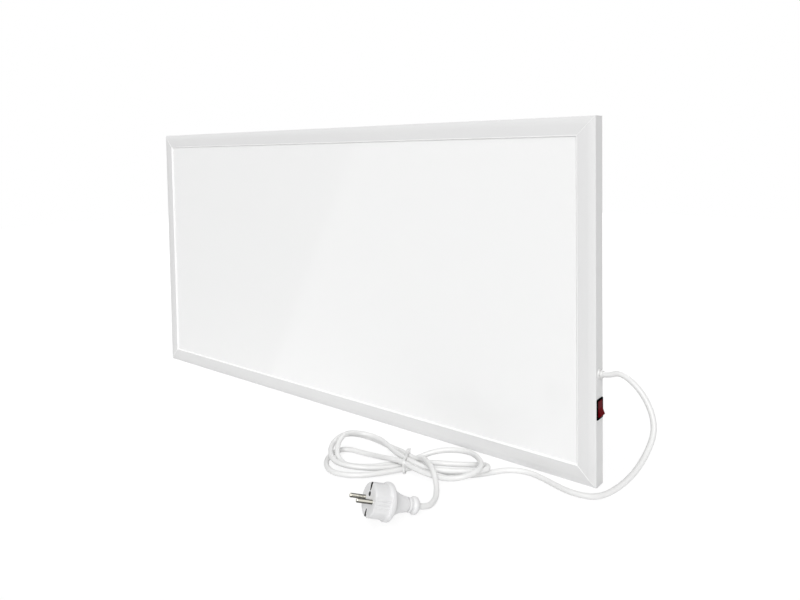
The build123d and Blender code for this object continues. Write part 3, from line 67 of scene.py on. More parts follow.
EYE = Vector((785.96, -789.12, 409.52)) * MM
VIEW_RIGHT = Vector((0.77634, 0.63013, -0.01514))
VIEW_DOWN = Vector((0.01744, -0.04549, -0.99881))
VIEW_AHEAD = Vector((-0.63007, 0.77516, -0.04631))


def make_camera():
    data = bpy.data.cameras.new("camera")
    camera = bpy.data.objects.new("camera", data)
    bpy.context.scene.collection.objects.link(camera)
    data.sensor_width = SENSOR_WIDTH
    data.sensor_fit = "HORIZONTAL"
    data.lens = FOCAL_PIXELS * SENSOR_WIDTH / PICTURE_WIDTH
    data.shift_y = (PRINCIPAL_ROW - PICTURE_HEIGHT / 2) / PICTURE_WIDTH
    data.clip_start = NEAREST_SEEN
    turn = Matrix((VIEW_RIGHT, -VIEW_DOWN, -VIEW_AHEAD)).transposed()
    camera.matrix_world = Matrix.Translation(EYE) @ turn.to_4x4()
    bpy.context.scene.camera = camera


# ------------------------------------------------------------------ materials
# a noise keeps mostly between these two levels, so what it drives is spread over them
NOISE_LOW = 0.3
NOISE_HIGH = 0.7
# the shares of its tone and of its roughness to which a finish drifts
COAT_DARKEST = 0.993
MOULDED_DARKEST = 0.985
MOULDED_SMOOTHEST = 0.88
MOULDED_ROUGHEST = 1.12
METAL_SMOOTHEST = 0.75
METAL_ROUGHEST = 1.3
# the zinc of the brackets and of the screws
ZINC = (0.62, 0.63, 0.65)
ZINC_ROUGHNESS = 0.38


class Surface:
    """A Principled material whose nodes are added one by one."""

    def __init__(self, name, colour, roughness, **sockets):
        self.material = bpy.data.materials.new(name)
        self.material.use_nodes = True
        self.tree = self.material.node_tree
        self.shader = self.tree.nodes["Principled BSDF"]
        self.shader.inputs["Base Color"].default_value = (*colour, 1.0)
        self.shader.inputs["Roughness"].default_value = roughness
        for socket, value in sockets.items():
            self.shader.inputs[socket.replace("_", " ")].default_value = value
        self.coordinates = self.tree.nodes.new("ShaderNodeTexCoord")

    def add(self, kind, **inputs):
        node = self.tree.nodes.new("ShaderNode" + kind)
        for name, value in inputs.items():
            socket = node.inputs[name.replace("_", " ")]
            if isinstance(value, bpy.types.NodeSocket):
                self.tree.links.new(value, socket)
            else:
                socket.default_value = value
        return node

    def noise(self, scale, detail, stretch=(1.0, 1.0, 1.0)):
        place = self.add("Mapping", Vector=self.coordinates.outputs["Object"], Scale=stretch)
        noise = self.add("TexNoise", Vector=place.outputs["Vector"], Scale=scale, Detail=detail)
        return noise.outputs["Fac"]

    def vary_roughness(self, fac, low, high):
        spread = self.add("MapRange", Value=fac, From_Min=NOISE_LOW, From_Max=NOISE_HIGH,
                          To_Min=low, To_Max=high)
        self.tree.links.new(spread.outputs["Result"], self.shader.inputs["Roughness"])

    def ramp_colour(self, fac, steps):
        """Drive the colour by a ramp of (place, colour) steps, the first and the last among them."""
        ramp = self.tree.nodes.new("ShaderNodeValToRGB")
        elements = ramp.color_ramp.elements
        for place, _ in steps[1:-1]:
            elements.new(place)
        for element, (place, colour) in zip(elements, steps):
            element.position = place
            element.color = (*colour, 1.0)
        self.tree.links.new(fac, ramp.inputs["Fac"])
        self.tree.links.new(ramp.outputs["Color"], self.shader.inputs["Base Color"])

    def vary_colour(self, fac, dark, light):
        self.ramp_colour(fac, [(NOISE_LOW, dark), (NOISE_HIGH, light)])

    def bump(self, height, distance, strength):
        bump = self.add("Bump", Height=height, Distance=distance, Strength=strength)
        self.tree.links.new(bump.outputs["Normal"], self.shader.inputs["Normal"])


def shade(value):
    return (value, value, value)


def scaled(colour, share):
    return tuple(share * part for part in colour)


def powder_coat(name, level):
    """Satin coat: fine orange peel, with a slow drift in gloss and tone."""
    surface = Surface(name, shade(level), roughness=0.42, Specular_IOR_Level=0.4)
    drift = surface.noise(scale=6.0, detail=3.0)
    surface.vary_roughness(drift, low=0.38, high=0.46)
    surface.vary_colour(drift, dark=scaled(shade(level), COAT_DARKEST), light=shade(level))
    surface.bump(surface.noise(scale=1400.0, detail=2.0), distance=0.00002, strength=0.35)
    return surface.material


def moulded(name, colour, roughness, grain=2200.0, depth=0.00003, gloss=0.5, clearness=0.0):
    """Moulded plastic: fine spark-eroded grain and faint flow marks."""
    surface = Surface(name, colour, roughness, Specular_IOR_Level=gloss, Transmission_Weight=clearness)
    flow = surface.noise(scale=90.0, detail=3.0, stretch=(1.0, 1.0, 0.35))
    surface.vary_roughness(flow, low=roughness * MOULDED_SMOOTHEST,
                           high=min(1.0, roughness * MOULDED_ROUGHEST))
    surface.vary_colour(flow, dark=scaled(colour, MOULDED_DARKEST), light=colour)
    surface.bump(surface.noise(scale=grain, detail=2.0), distance=depth, strength=0.4)
    return surface.material


def metal(name, colour, roughness):
    """Plated or bare metal with fine scratches."""
    surface = Surface(name, colour, roughness, Metallic=1.0)
    scratch = surface.noise(scale=700.0, detail=4.0)
    surface.vary_roughness(scratch, low=roughness * METAL_SMOOTHEST,
                           high=min(1.0, roughness * METAL_ROUGHEST))
    surface.bump(scratch, distance=0.00001, strength=0.3)
    return surface.material


def white_glass():
    """Toughened pane, white behind the glass: a deep gloss with a very slight roller wave."""
    surface = Surface("white_glass_face", (0.915, 0.917, 0.915), roughness=0.035, IOR=1.5)
    wave = surface.noise(scale=3.5, detail=1.0, stretch=(1.0, 1.0, 0.25))
    surface.vary_colour(wave, dark=(0.914, 0.916, 0.914), light=(0.917, 0.919, 0.917))
    surface.bump(wave, distance=0.00004, strength=0.2)
    return surface.material


def cord_jacket():
    """Soft white jacket of the mains lead, slightly mottled."""
    surface = Surface("cord_jacket_white", (0.80, 0.80, 0.795), roughness=0.36)
    mottle = surface.noise(scale=60.0, detail=3.0)
    surface.vary_roughness(mottle, low=0.32, high=0.42)
    surface.vary_colour(mottle, dark=(0.785, 0.785, 0.78), light=(0.805, 0.805, 0.80))
    surface.bump(surface.noise(scale=900.0, detail=2.0), distance=0.00004, strength=0.4)
    return surface.material


# ------------------------------------------------------------------ building helpers
def link(name, mesh):
    """Put a mesh, a curve or a set of points in the scene under the given name."""
    piece = bpy.data.objects.new(name, mesh)
    bpy.context.scene.collection.objects.link(piece)
    return piece


def piece_from(mesh, name):
    """End the mesh work and put its result in the scene as a piece of the given name."""
    data = bpy.data.meshes.new(name)
    mesh.to_mesh(data)
    mesh.free()
    return link(name, data)


def plain_mesh(piece, name):
    """The piece with its modifiers applied, as a plain mesh object under the given name."""
    graph = bpy.context.evaluated_depsgraph_get()
    mesh = bpy.data.meshes.new_from_object(piece.evaluated_get(graph), depsgraph=graph)
    bpy.data.objects.remove(piece)
    mesh.name = name
    return link(name, mesh)


# ------------------------------------------------------------------ mains lead
CORD_DIAMETER = 6.8 * MM
PLUG_TAIL = 12.0  # length of the cord's straight end behind the plug
# from the outlet over the floor to the tie
LEAD_ROUTE = [(455, 1.5, 138.6), (463, 1.5, 139.2), (474, 1, 144.5), (489, -1, 139.5), (503, -2, 127),
              (513, -4.5, 112.5), (518.8, -8, 98), (520, -13, 84), (515.5, -20, 66.5), (505, -26, 43.5),
              (485, -31, 19), (462, -36, 3.4), (436, -42, 3.4), (412, -37, 3.4), (392, -30, 3.4),
              (366, -25, 3.4), (343, -35, 3.4), (331, -54, 3.4), (315, -76, 3.4), (298, -87, 3.4),
              (276, -89.5, 3.4)]
# the tied hank: under the tie, then five loops in turn, left and right, loose and each of its own size
FIRST_LEFT = [(259, -92, 3.6), (249, -100.5, 5.2), (242, -113, 5.8), (233, -128, 5.4), (222, -143, 4.9),
              (208, -160, 4.4), (191, -172, 4.2), (172, -177.5, 4.2), (154, -171.5, 4.2), (140, -158, 4.2),
              (132, -141, 4.2), (130, -124, 4.1), (140, -114, 4.1), (158, -112, 4.2), (178, -111.5, 5.5),
              (198, -114.5, 9), (215, -117.5, 12.6), (229, -116.5, 13.8), (243, -117.5, 13.8)]
WIDE_RIGHT = [(258, -121, 13.2), (276, -121, 12), (294, -120.5, 12), (311, -117.5, 13.5), (325, -108, 16.2),
              (333, -92, 19), (330, -75, 20.4), (316, -60, 20), (298, -50.5, 18.8), (280, -51.5, 17.8),
              (262, -61, 16.8), (248, -73, 13.5), (238, -85.5, 8.5), (230, -96.5, 5.7), (223, -108.5, 5.6)]
INNER_LEFT = [(213.5, -122.5, 5.2), (201, -135, 4.4), (185, -146, 3.9), (168, -152.5, 4.2), (152, -149, 9),
              (142, -139, 19), (138, -124, 26.5), (138, -108, 25), (141, -92, 19.5), (154, -83.5, 16.5),
              (174, -85.5, 16.5), (195, -93.5, 15.2), (212, -100.5, 14), (229, -105.5, 13.8),
              (243, -108.5, 13.8)]
FLAT_RIGHT = [(258, -109, 12.8), (272, -105.5, 11), (287, -98.5, 10.2), (302, -90.5, 10.6),
              (316, -83, 11.4), (328, -76, 12.4), (333, -64, 13), (323, -52.5, 10.5), (306, -52.3, 5.6),
              (290, -58.4, 3.8), (275, -67, 3.6), (260, -75, 3.8), (248, -85, 4.6), (239, -97, 5.6),
              (231.5, -111.5, 5.6)]
OUTER_LEFT = [(221.5, -127, 6), (209.5, -142, 7.2), (195.5, -154.5, 9), (180, -162.5, 10.3),
              (163, -163.5, 10.6), (147, -157, 12.3), (134, -143, 16), (128, -126, 20), (128, -108, 20.5),
              (133, -91.5, 16), (145, -79, 10.5), (162, -74.5, 7), (180, -76.5, 6), (198, -81.5, 7.5),
              (214, -89, 11.5), (229, -96.5, 13.8)]
# from the tie, over the hank and down to the plug
TAIL_ROUTE = [(244, -99.8, 14), (253, -101.5, 17), (263, -106.5, 21.5), (275, -114, 23.5),
              (286.5, -121, 22.5), (297, -128.5, 16), (305, -136.5, 8.6), (312, -147, 4.8),
              (317, -159.5, 3.7)]


def nurbs(name, points, radius):
    """A round tube on one open smooth spline through control points in millimetres."""
    curve = bpy.data.curves.new(name, "CURVE")
    curve.dimensions = "3D"
    spline = curve.splines.new("NURBS")
    spline.points.add(len(points) - 1)
    for slot, point in zip(spline.points, points):
        slot.co = (*(Vector(point) * MM), 1.0)
    spline.order_u = 3
    spline.use_endpoint_u = True
    spline.resolution_u = 6
    curve.bevel_depth = radius
    curve.bevel_resolution = 6
    curve.use_fill_caps = True
    return link(name, curve)


def make_cord(plug_body):
    end = PLUG_MIDDLE - PLUG_AXIS * PLUG_END
    tail = TAIL_ROUTE + [end - PLUG_AXIS * PLUG_TAIL, end]
    points = LEAD_ROUTE + FIRST_LEFT + WIDE_RIGHT + INNER_LEFT + FLAT_RIGHT + OUTER_LEFT + tail
    cord = nurbs("mains_lead", points, CORD_DIAMETER / 2)
    cord.data.materials.append(cord_jacket())
    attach(cord, "panel")
    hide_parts("cord_lead", "cord_hank", "cord_tail")


# ------------------------------------------------------------------ plug
PLUG_AT = (296.0, -215.0)  # the middle of its collar over the floor
PLUG_HEADING = radians(242.4)
PLUG_ROLL = radians(8.5)
# it lies on the rims of its collar and its bulb: the radius of a rim's middle circle, and the rim's rounding
COLLAR_RING_R = 17.5
COLLAR_ROUND = 3.5
BULB_RING_R = 5.9
BULB_ROUND = 4.0
BULB_AT = 32.3  # behind the collar's middle, as PLUG_END is
PLUG_END = 38.0
ARM = COLLAR_RING_R - BULB_RING_R
PLUG_PITCH = atan2(ARM, BULB_AT) - (BULB_ROUND - COLLAR_ROUND) / sqrt(ARM * ARM + BULB_AT * BULB_AT)
PLUG_MIDDLE = Vector((*PLUG_AT, COLLAR_RING_R * cos(PLUG_PITCH) + COLLAR_ROUND))
PLUG_AXIS = Vector((cos(PLUG_PITCH) * cos(PLUG_HEADING),
                    cos(PLUG_PITCH) * sin(PLUG_HEADING),
                    sin(PLUG_PITCH)))
LEVEL_LINE = Vector((-sin(PLUG_HEADING), cos(PLUG_HEADING), 0.0))
PIN_LINE = LEVEL_LINE * cos(PLUG_ROLL) + PLUG_AXIS.cross(LEVEL_LINE) * sin(PLUG_ROLL)
EARTH_LINE = PLUG_AXIS.cross(PIN_LINE)
# along the plug from the collar's middle, and out from its axis: face, body, collar, neck, grooves, bulb
PLUG_PROFILE = [(25.2, 0.0), (25.2, 6.0), (25.2, 9.6), (25.2, 12.5), (25.2, 16.4), (25.1, 17.3),
                (24.7, 18.0), (24.0, 18.4), (22.8, 18.55), (20.0, 18.6), (17.2, 18.65), (16.8, 18.65),
                (9.3, 18.8), (9.0, 18.8), (7.6, 18.85), (6.8, 19.0), (6.1, 19.5), (5.4, 20.2), (4.4, 20.75),
                (3.0, 20.9), (1.4, 20.8), (0.2, 20.3), (-0.6, 19.3), (-1.8, 17.4), (-3.6, 15.5),
                (-6.0, 13.6), (-9.2, 11.7), (-12.6, 10.3), (-16.4, 9.3), (-20.4, 8.5), (-22.0, 8.25),
                (-22.5, 7.7), (-22.7, 5.8), (-24.2, 5.8), (-24.4, 7.6), (-24.9, 8.1), (-26.4, 8.15),
                (-26.9, 7.7), (-27.1, 5.8), (-28.5, 5.8), (-28.8, 7.7), (-29.6, 8.9), (-30.9, 9.7),
                (-32.3, 9.9), (-33.8, 9.7), (-35.3, 8.9), (-36.5, 7.6), (-37.4, 6.0), (-38.0, 4.6),
                (-38.0, 3.1)]
PLUG_COLUMNS = 180
SHARP_EDGE = radians(32)  # edges that turn by more than this stay sharp
SAME_PLACE = 0.000001  # points nearer to each other than this are merged
# two flats beside the pins, with three grips on each
FLAT_AT = 16.6
FLATS_FROM = 4.5
FLATS_TO = 24.9
GRIPS_TO = 21.0
GRIP_RISE = 0.9
GRIP_HALF = 0.8
GRIP_PITCH = 4.0
# the two slots of the earth clips, with painted shade inside them near the face, and the earth hole in the
# face, a flat disc of painted shade
SLOT_FLOOR = 9.6
SLOT_BACK = 9.1
SLOT_PAINTED_SHADE_FROM = 22.0
SLOT_HALF_ANGLE = radians(5.2)
EARTH_HOLE_AT = 25.24
EARTH_HOLE_STEP = 6.2
EARTH_HOLE_R = 2.6
EARTH_HOLE_SIDES = 24
# painted reflection round a pin: the nickel's brightness from its underside (0) to its top (1), dark on top
# and underneath and bright along the flanks
NICKEL_PAINTED_REFLECTION = [(0.0, 0.07), (0.38, 0.10), (0.52, 0.72), (0.78, 0.80), (0.90, 0.12), (1.0, 0.08)]
NICKEL_TINT = (1.0, 0.97, 0.86)


def pin_nickel():
    """Nickel plate with a painted reflection: dark along the top and underside of each pin and bright along
    its flanks.
    """
    surface = Surface("pin_nickel", (0.5, 0.48, 0.43), roughness=0.16, Metallic=1.0)
    # the colour follows which way the surface faces: a painted reflection
    around = surface.tree.nodes.new("ShaderNodeVectorMath")
    around.operation = "DOT_PRODUCT"
    around.inputs[1].default_value = EARTH_LINE
    surface.tree.links.new(surface.coordinates.outputs["Normal"], around.inputs[0])
    share = surface.add("MapRange", Value=around.outputs["Value"], From_Min=-1.0, From_Max=1.0)
    surface.ramp_colour(share.outputs["Result"],
                        [(place, scaled(NICKEL_TINT, level)) for place, level in NICKEL_PAINTED_REFLECTION])
    surface.bump(surface.noise(scale=700.0, detail=4.0), distance=0.00001, strength=0.3)
    return surface.material


def plug_point(along, out, angle):
    """A point of the plug's skin, with its flats, grips and slots, and whether it lies in a slot."""
    side = out * cos(angle)
    up = out * sin(angle)
    if FLATS_FROM < along < FLATS_TO and abs(side) > FLAT_AT:
        ridge = min(abs(up - step * GRIP_PITCH) for step in (-1, 0, 1)) < GRIP_HALF
        limit = FLAT_AT + (GRIP_RISE if ridge and along < GRIPS_TO else 0.0)
        side = max(-limit, min(limit, side))
    in_slot = abs(abs(angle - pi) - pi / 2) < SLOT_HALF_ANGLE and along > SLOT_BACK and out > SLOT_FLOOR
    if in_slot:
        side, up = side * SLOT_FLOOR / out, up * SLOT_FLOOR / out
    return (PLUG_MIDDLE + PLUG_AXIS * along + PIN_LINE * side + EARTH_LINE * up) * MM, in_slot


def make_plug_body():
    """The moulded body: one skin turned from its profile, with painted shade inside the clips' slots and on
    the earth hole.
    """
    mesh = bmesh.new()
    rings = []
    dark = set()
    for along, out in PLUG_PROFILE:
        if out == 0.0:
            rings.append([mesh.verts.new((PLUG_MIDDLE + PLUG_AXIS * along) * MM)] * PLUG_COLUMNS)
            continue
        ring = []
        for column in range(PLUG_COLUMNS):
            place, in_slot = plug_point(along, out, 2 * pi * (column + 0.5) / PLUG_COLUMNS)
            ring.append(mesh.verts.new(place))
            # slot walls near the face take the painted shade
            if in_slot and along > SLOT_PAINTED_SHADE_FROM:
                dark.add(ring[-1])
        rings.append(ring)
    for inner, outer in zip(rings, rings[1:]):
        for column in range(PLUG_COLUMNS):
            after = (column + 1) % PLUG_COLUMNS
            corners = [inner[column], outer[column], outer[after], inner[after]]
            if inner[column] is inner[after]:
                corners = corners[:3]
            face = mesh.faces.new(corners)
            face.smooth = True
            face.material_index = 1 if sum(corner in dark for corner in corners) >= 2 else 0
    # the earth hole is a flat disc just before the face, dark with painted shade
    hole_middle = PLUG_MIDDLE + PLUG_AXIS * EARTH_HOLE_AT + EARTH_LINE * EARTH_HOLE_STEP
    hole = []
    for step in range(EARTH_HOLE_SIDES):
        angle = 2 * pi * step / EARTH_HOLE_SIDES
        place = hole_middle + PIN_LINE * EARTH_HOLE_R * cos(angle) + EARTH_LINE * EARTH_HOLE_R * sin(angle)
        hole.append(mesh.verts.new(place * MM))
    mesh.faces.new(hole).material_index = 1
    bmesh.ops.remove_doubles(mesh, verts=mesh.verts, dist=SAME_PLACE)
    bmesh.ops.recalc_face_normals(mesh, faces=mesh.faces)
    for edge in mesh.edges:
        edge.smooth = len(edge.link_faces) == 2 and edge.calc_face_angle(0.0) < SHARP_EDGE
    body = piece_from(mesh, "plug_skin")
    body.data.materials.append(moulded("plug_vinyl_white", (0.80, 0.80, 0.805), 0.38))
    body.data.materials.append(moulded("slot_shade", shade(0.010), 0.8))
    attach(body, "panel")
    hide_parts("plug_body")
    return body


# ------------------------------------------------------------------ frame lines
HALF_WIDTH = 450.0
HEIGHT = 450.0
FRONT = -11.0
# distance in from the panel's outer edge, and fall behind its front: the band round the pane, closed, whose
# near-white is a painted highlight, and the crown
LIP_SECTION = [(22.4, 0.4), (22.4, -0.02), (22.6, -0.05), (23.2, 0.0), (23.5, 0.3), (24.0, 1.1),
               (24.1, 2.1), (22.4, 2.1)]
CROWN_LINE = [(22.9, 0.35), (22.4, -0.02), (18.0, 0.0), (14.0, 0.12), (9.5, 0.46), (6.0, 1.05), (3.0, 1.85),
              (0.9, 2.7)]
MITRE_RADIUS = 0.42
MITRE_TAPER = 0.65  # the share of its radius that a mitre line loses towards the corner


def make_lip_band(material):
    """A painted highlight round the pane: one closed band that follows LIP_SECTION round the four sides."""
    mesh = bmesh.new()
    loops = []
    for inset, fall in LIP_SECTION:
        side = HALF_WIDTH - inset
        top = HEIGHT - inset
        loops.append([mesh.verts.new(Vector((x, FRONT + fall, z)) * MM)
                      for x, z in ((-side, inset), (side, inset), (side, top), (-side, top))])
    for this, after in zip(loops, loops[1:] + loops[:1]):
        for corner in range(4):
            turn = (corner + 1) % 4
            mesh.faces.new((this[corner], this[turn], after[turn], after[corner]))
    bmesh.ops.recalc_face_normals(mesh, faces=mesh.faces)
    band = piece_from(mesh, "lip_band")
    band.data.materials.append(material)
    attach(band, "panel")


def make_mitre_lines(material):
    """A fine bead on each of the frame's four mitres, from the lip out to the corner, that carries a painted
    highlight.
    """
    curve = bpy.data.curves.new("mitre_lines", "CURVE")
    curve.dimensions = "3D"
    last = len(CROWN_LINE) - 1
    middle = HEIGHT / 2
    for side, end in ((-1, -1), (-1, 1), (1, -1), (1, 1)):
        spline = curve.splines.new("POLY")
        spline.points.add(last)
        for place, (inset, fall) in enumerate(CROWN_LINE):
            point = Vector((side * (HALF_WIDTH - inset), FRONT + fall, middle + end * (middle - inset)))
            spline.points[place].co = (*(point * MM), 1.0)
            spline.points[place].radius = 1.0 - MITRE_TAPER * place / last
    curve.bevel_depth = MITRE_RADIUS * MM
    curve.bevel_resolution = 3
    curve.use_fill_caps = True
    beads = plain_mesh(link("mitre_lines", curve), "mitre_lines")
    beads.data.materials.append(material)
    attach(beads, "panel")


def make_frame_lines():
    """The bright edge round the pane and the four mitres, in one near-white that paints their highlights."""
    # near-white, far lighter than the frame's coat: a painted highlight
    edge = moulded("painted_highlight_white", shade(0.98), 0.35)
    make_lip_band(edge)
    make_mitre_lines(edge)


# ------------------------------------------------------------------ screws of the back cover
SCREW_SIZES = {"Head Radius": 2.8, "Rim Height": 0.81, "Crown Radius": 1.68, "Crown Height": 0.99,
               "Recess Width": 0.7, "Recess Depth": 0.8, "Shank Radius": 1.4, "Shank Length": 6.5}
LONG_SIDE_SHARES = (-0.42, -0.21, 0.0, 0.21, 0.42)
SHORT_SIDE_SHARES = (0.25, 0.75)
SCREW_COLUMNS = 40
SCREW_SEED = 3
RECESS_REACH = 1.5  # length of the cross recess, as a share of the crown's radius
BLADE_HEIGHT = 2.0  # height of the blades that cut it, half of them above the head, as a share of its depth


def screw_tree():
    """One pan-head screw with a cross recess at each point, pointing into the cover, turned its own way."""
    tree = bpy.data.node_groups.new("cover_screws", "GeometryNodeTree")
    tree.interface.new_socket("Screws", in_out="OUTPUT", socket_type="NodeSocketGeometry")
    tree.interface.new_socket("Places", in_out="INPUT", socket_type="NodeSocketGeometry")
    for name in SCREW_SIZES:
        tree.interface.new_socket(name, in_out="INPUT", socket_type="NodeSocketFloat")
    tree.interface.new_socket("Finish", in_out="INPUT", socket_type="NodeSocketMaterial")
    given = tree.nodes.new("NodeGroupInput").outputs

    def add(kind, **inputs):
        node = tree.nodes.new(kind)
        for name, values in inputs.items():
            socket = node.inputs[name.replace("_", " ")]
            for value in values if isinstance(values, list) else [values]:
                if isinstance(value, bpy.types.NodeSocket):
                    tree.links.new(value, socket)
                else:
                    socket.default_value = value
        return node

    def times(socket, factor):
        node = tree.nodes.new("ShaderNodeMath")
        node.operation = "MULTIPLY"
        tree.links.new(socket, node.inputs[0])
        node.inputs[1].default_value = factor
        return node.outputs[0]

    def turned(low_radius, high_radius, depth, start):
        cone = add("GeometryNodeMeshCone", Vertices=SCREW_COLUMNS, Radius_Bottom=low_radius,
                   Radius_Top=high_radius, Depth=depth)
        place = add("ShaderNodeCombineXYZ", Z=start)
        moved = add("GeometryNodeTransform", Geometry=cone.outputs["Mesh"], Translation=place.outputs[0])
        return moved.outputs[0]

    head_radius = given["Head Radius"]
    crown_radius = given["Crown Radius"]
    shank_radius = given["Shank Radius"]
    rim = turned(head_radius, head_radius, given["Rim Height"], 0.0)
    crown = turned(head_radius, crown_radius, given["Crown Height"], given["Rim Height"])
    shank = turned(shank_radius, shank_radius, given["Shank Length"], times(given["Shank Length"], -1.0))
    top = add("ShaderNodeMath")
    tree.links.new(given["Rim Height"], top.inputs[0])
    tree.links.new(given["Crown Height"], top.inputs[1])
    top_place = add("ShaderNodeCombineXYZ", Z=top.outputs[0])
    length = times(crown_radius, RECESS_REACH)
    height = times(given["Recess Depth"], BLADE_HEIGHT)
    recess = tree.nodes.new("GeometryNodeMeshBoolean")
    recess.operation = "DIFFERENCE"
    tree.links.new(crown, recess.inputs[0])
    for across, along in ((given["Recess Width"], length), (length, given["Recess Width"])):
        size = add("ShaderNodeCombineXYZ", X=across, Y=along, Z=height)
        blade = add("GeometryNodeMeshCube", Size=size.outputs[0])
        set_up = add("GeometryNodeTransform", Geometry=blade.outputs["Mesh"],
                     Translation=top_place.outputs[0])
        tree.links.new(set_up.outputs[0], recess.inputs[1])
    screw = add("GeometryNodeJoinGeometry", Geometry=[rim, recess.outputs[0], shank])
    set_in = add("GeometryNodeInstanceOnPoints", Points=given["Places"], Instance=screw.outputs[0],
                 Rotation=(-pi / 2, 0.0, 0.0))
    turn = tree.nodes.new("FunctionNodeRandomValue")
    turn.data_type = "FLOAT_VECTOR"
    turn.inputs[0].default_value = (0.0, 0.0, 0.0)
    turn.inputs[1].default_value = (0.0, 0.0, pi)
    turn.inputs["Seed"].default_value = SCREW_SEED
    driven = add("GeometryNodeRotateInstances", Instances=set_in.outputs[0], Rotation=turn.outputs[0])
    real = add("GeometryNodeRealizeInstances", Geometry=driven.outputs[0])
    finished = add("GeometryNodeSetMaterial", Geometry=real.outputs[0], Material=given["Finish"])
    tree.links.new(finished.outputs[0], tree.nodes.new("NodeGroupOutput").inputs[0])
    return tree


def make_cover_screws():
    """The cover's screws, set where the CAD has them: five along each long side, two on each short one."""
    low, high = (Vector(corner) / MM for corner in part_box("back_cover_screws"))
    radius = SCREW_SIZES["Head Radius"]
    seat = low.y + SCREW_SIZES["Shank Length"]
    rows = (low.z + radius, high.z - radius)
    columns = (low.x + radius, high.x - radius)
    places = [(share * 2 * HALF_WIDTH, seat, z) for share in LONG_SIDE_SHARES for z in rows]
    places += [(x, seat, share * HEIGHT) for share in SHORT_SIDE_SHARES for x in columns]
    points = bpy.data.meshes.new("cover_screw_places")
    points.from_pydata([Vector(place) * MM for place in places], [], [])
    holder = link("cover_screw_places", points)
    tree = screw_tree()
    given = {name: size * MM for name, size in SCREW_SIZES.items()}
    given["Finish"] = metal("screw_zinc", ZINC, ZINC_ROUGHNESS)
    modifier = holder.modifiers.new("screws", "NODES")
    modifier.node_group = tree
    for socket in tree.interface.items_tree:
        if socket.in_out == "INPUT" and socket.name in given:
            modifier[socket.identifier] = given[socket.name]
    screws = plain_mesh(holder, "cover_screws")
    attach(screws, "panel")
    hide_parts("back_cover_screws")


# ------------------------------------------------------------------ studio
WORLD_FILL = 0.217  # how bright the world is for the rays that light the object
# name, place, aim, size and power of each lamp
LAMPS = [("key_front_right", (8.8, -12.0, 8.0), (0.0, 0.0, 0.2), (8.0, 8.0), 1800.0),
         ("top_soft", (0.0, -5.0, 10.0), (0.0, 0.0, 0.0), (8.0, 6.0), 340.0),
         ("rear_fill", (-2.5, 8.5, 3.0), (0.0, 0.0, 0.25), (5.0, 4.0), 420.0)]
FLOOR_SIZE = 7.0
FLOOR_DROP = 0.0002  # the floor lies this far under what stands on it
FLOOR_TONE = 0.22
FLOOR_BOUNCE = 0.8
# the floor's own glow grows from near to far round this point
FLOOR_MIDDLE = (0.25, -0.15, 0.0)
FLOOR_NEAR = 0.35
FLOOR_FAR = 1.3
FLOOR_GLOW = 0.83
FLOOR_GLOW_FAR = 0.98
# a card to the left of the view, which the pane mirrors
CARD_LEVEL = 0.5
CARD_CORNERS = [(-0.936, -1.5, 1.2), (-2.333, -1.5, -1.5), (-8.0, -1.5, -1.5), (-8.0, -1.5, 1.2)]


def make_lamps():
    """Three soft lamps: from the front right, from above and from behind."""
    for name, place, aim, size, power in LAMPS:
        data = bpy.data.lights.new(name, "AREA")
        data.shape = "RECTANGLE"
        data.size, data.size_y = size
        data.energy = power
        lamp = bpy.data.objects.new(name, data)
        bpy.context.scene.collection.objects.link(lamp)
        lamp.location = place
        lamp.rotation_euler = (Vector(aim) - Vector(place)).to_track_quat("-Z", "Y").to_euler()


def shows_background(tree):
    """1 for the rays that show the white background: straight, mirrored or through clear nylon."""
    path = tree.nodes.new("ShaderNodeLightPath")
    shown = path.outputs["Is Camera Ray"]
    for kind in ("Is Glossy Ray", "Is Transmission Ray"):
        larger = tree.nodes.new("ShaderNodeMath")
        larger.operation = "MAXIMUM"
        tree.links.new(shown, larger.inputs[0])
        tree.links.new(path.outputs[kind], larger.inputs[1])
        shown = larger.outputs[0]
    return shown


def make_world():
    """White where it is seen, and dimmer where it only lights the object."""
    world = bpy.data.worlds.new("studio")
    bpy.context.scene.world = world
    world.use_nodes = True
    tree = world.node_tree
    back = tree.nodes["Background"]
    level = tree.nodes.new("ShaderNodeMapRange")
    level.inputs["To Min"].default_value = WORLD_FILL
    level.inputs["To Max"].default_value = 1.0
    tree.links.new(shows_background(tree), level.inputs["Value"])
    tree.links.new(level.outputs["Result"], back.inputs["Strength"])
    back.inputs["Color"].default_value = (*shade(1.0), 1.0)


def empty_material(name):
    """A material with nothing in it but its output."""
    material = bpy.data.materials.new(name)
    material.use_nodes = True
    tree = material.node_tree
    tree.nodes.clear()
    return material, tree, tree.nodes.new("ShaderNodeOutputMaterial")


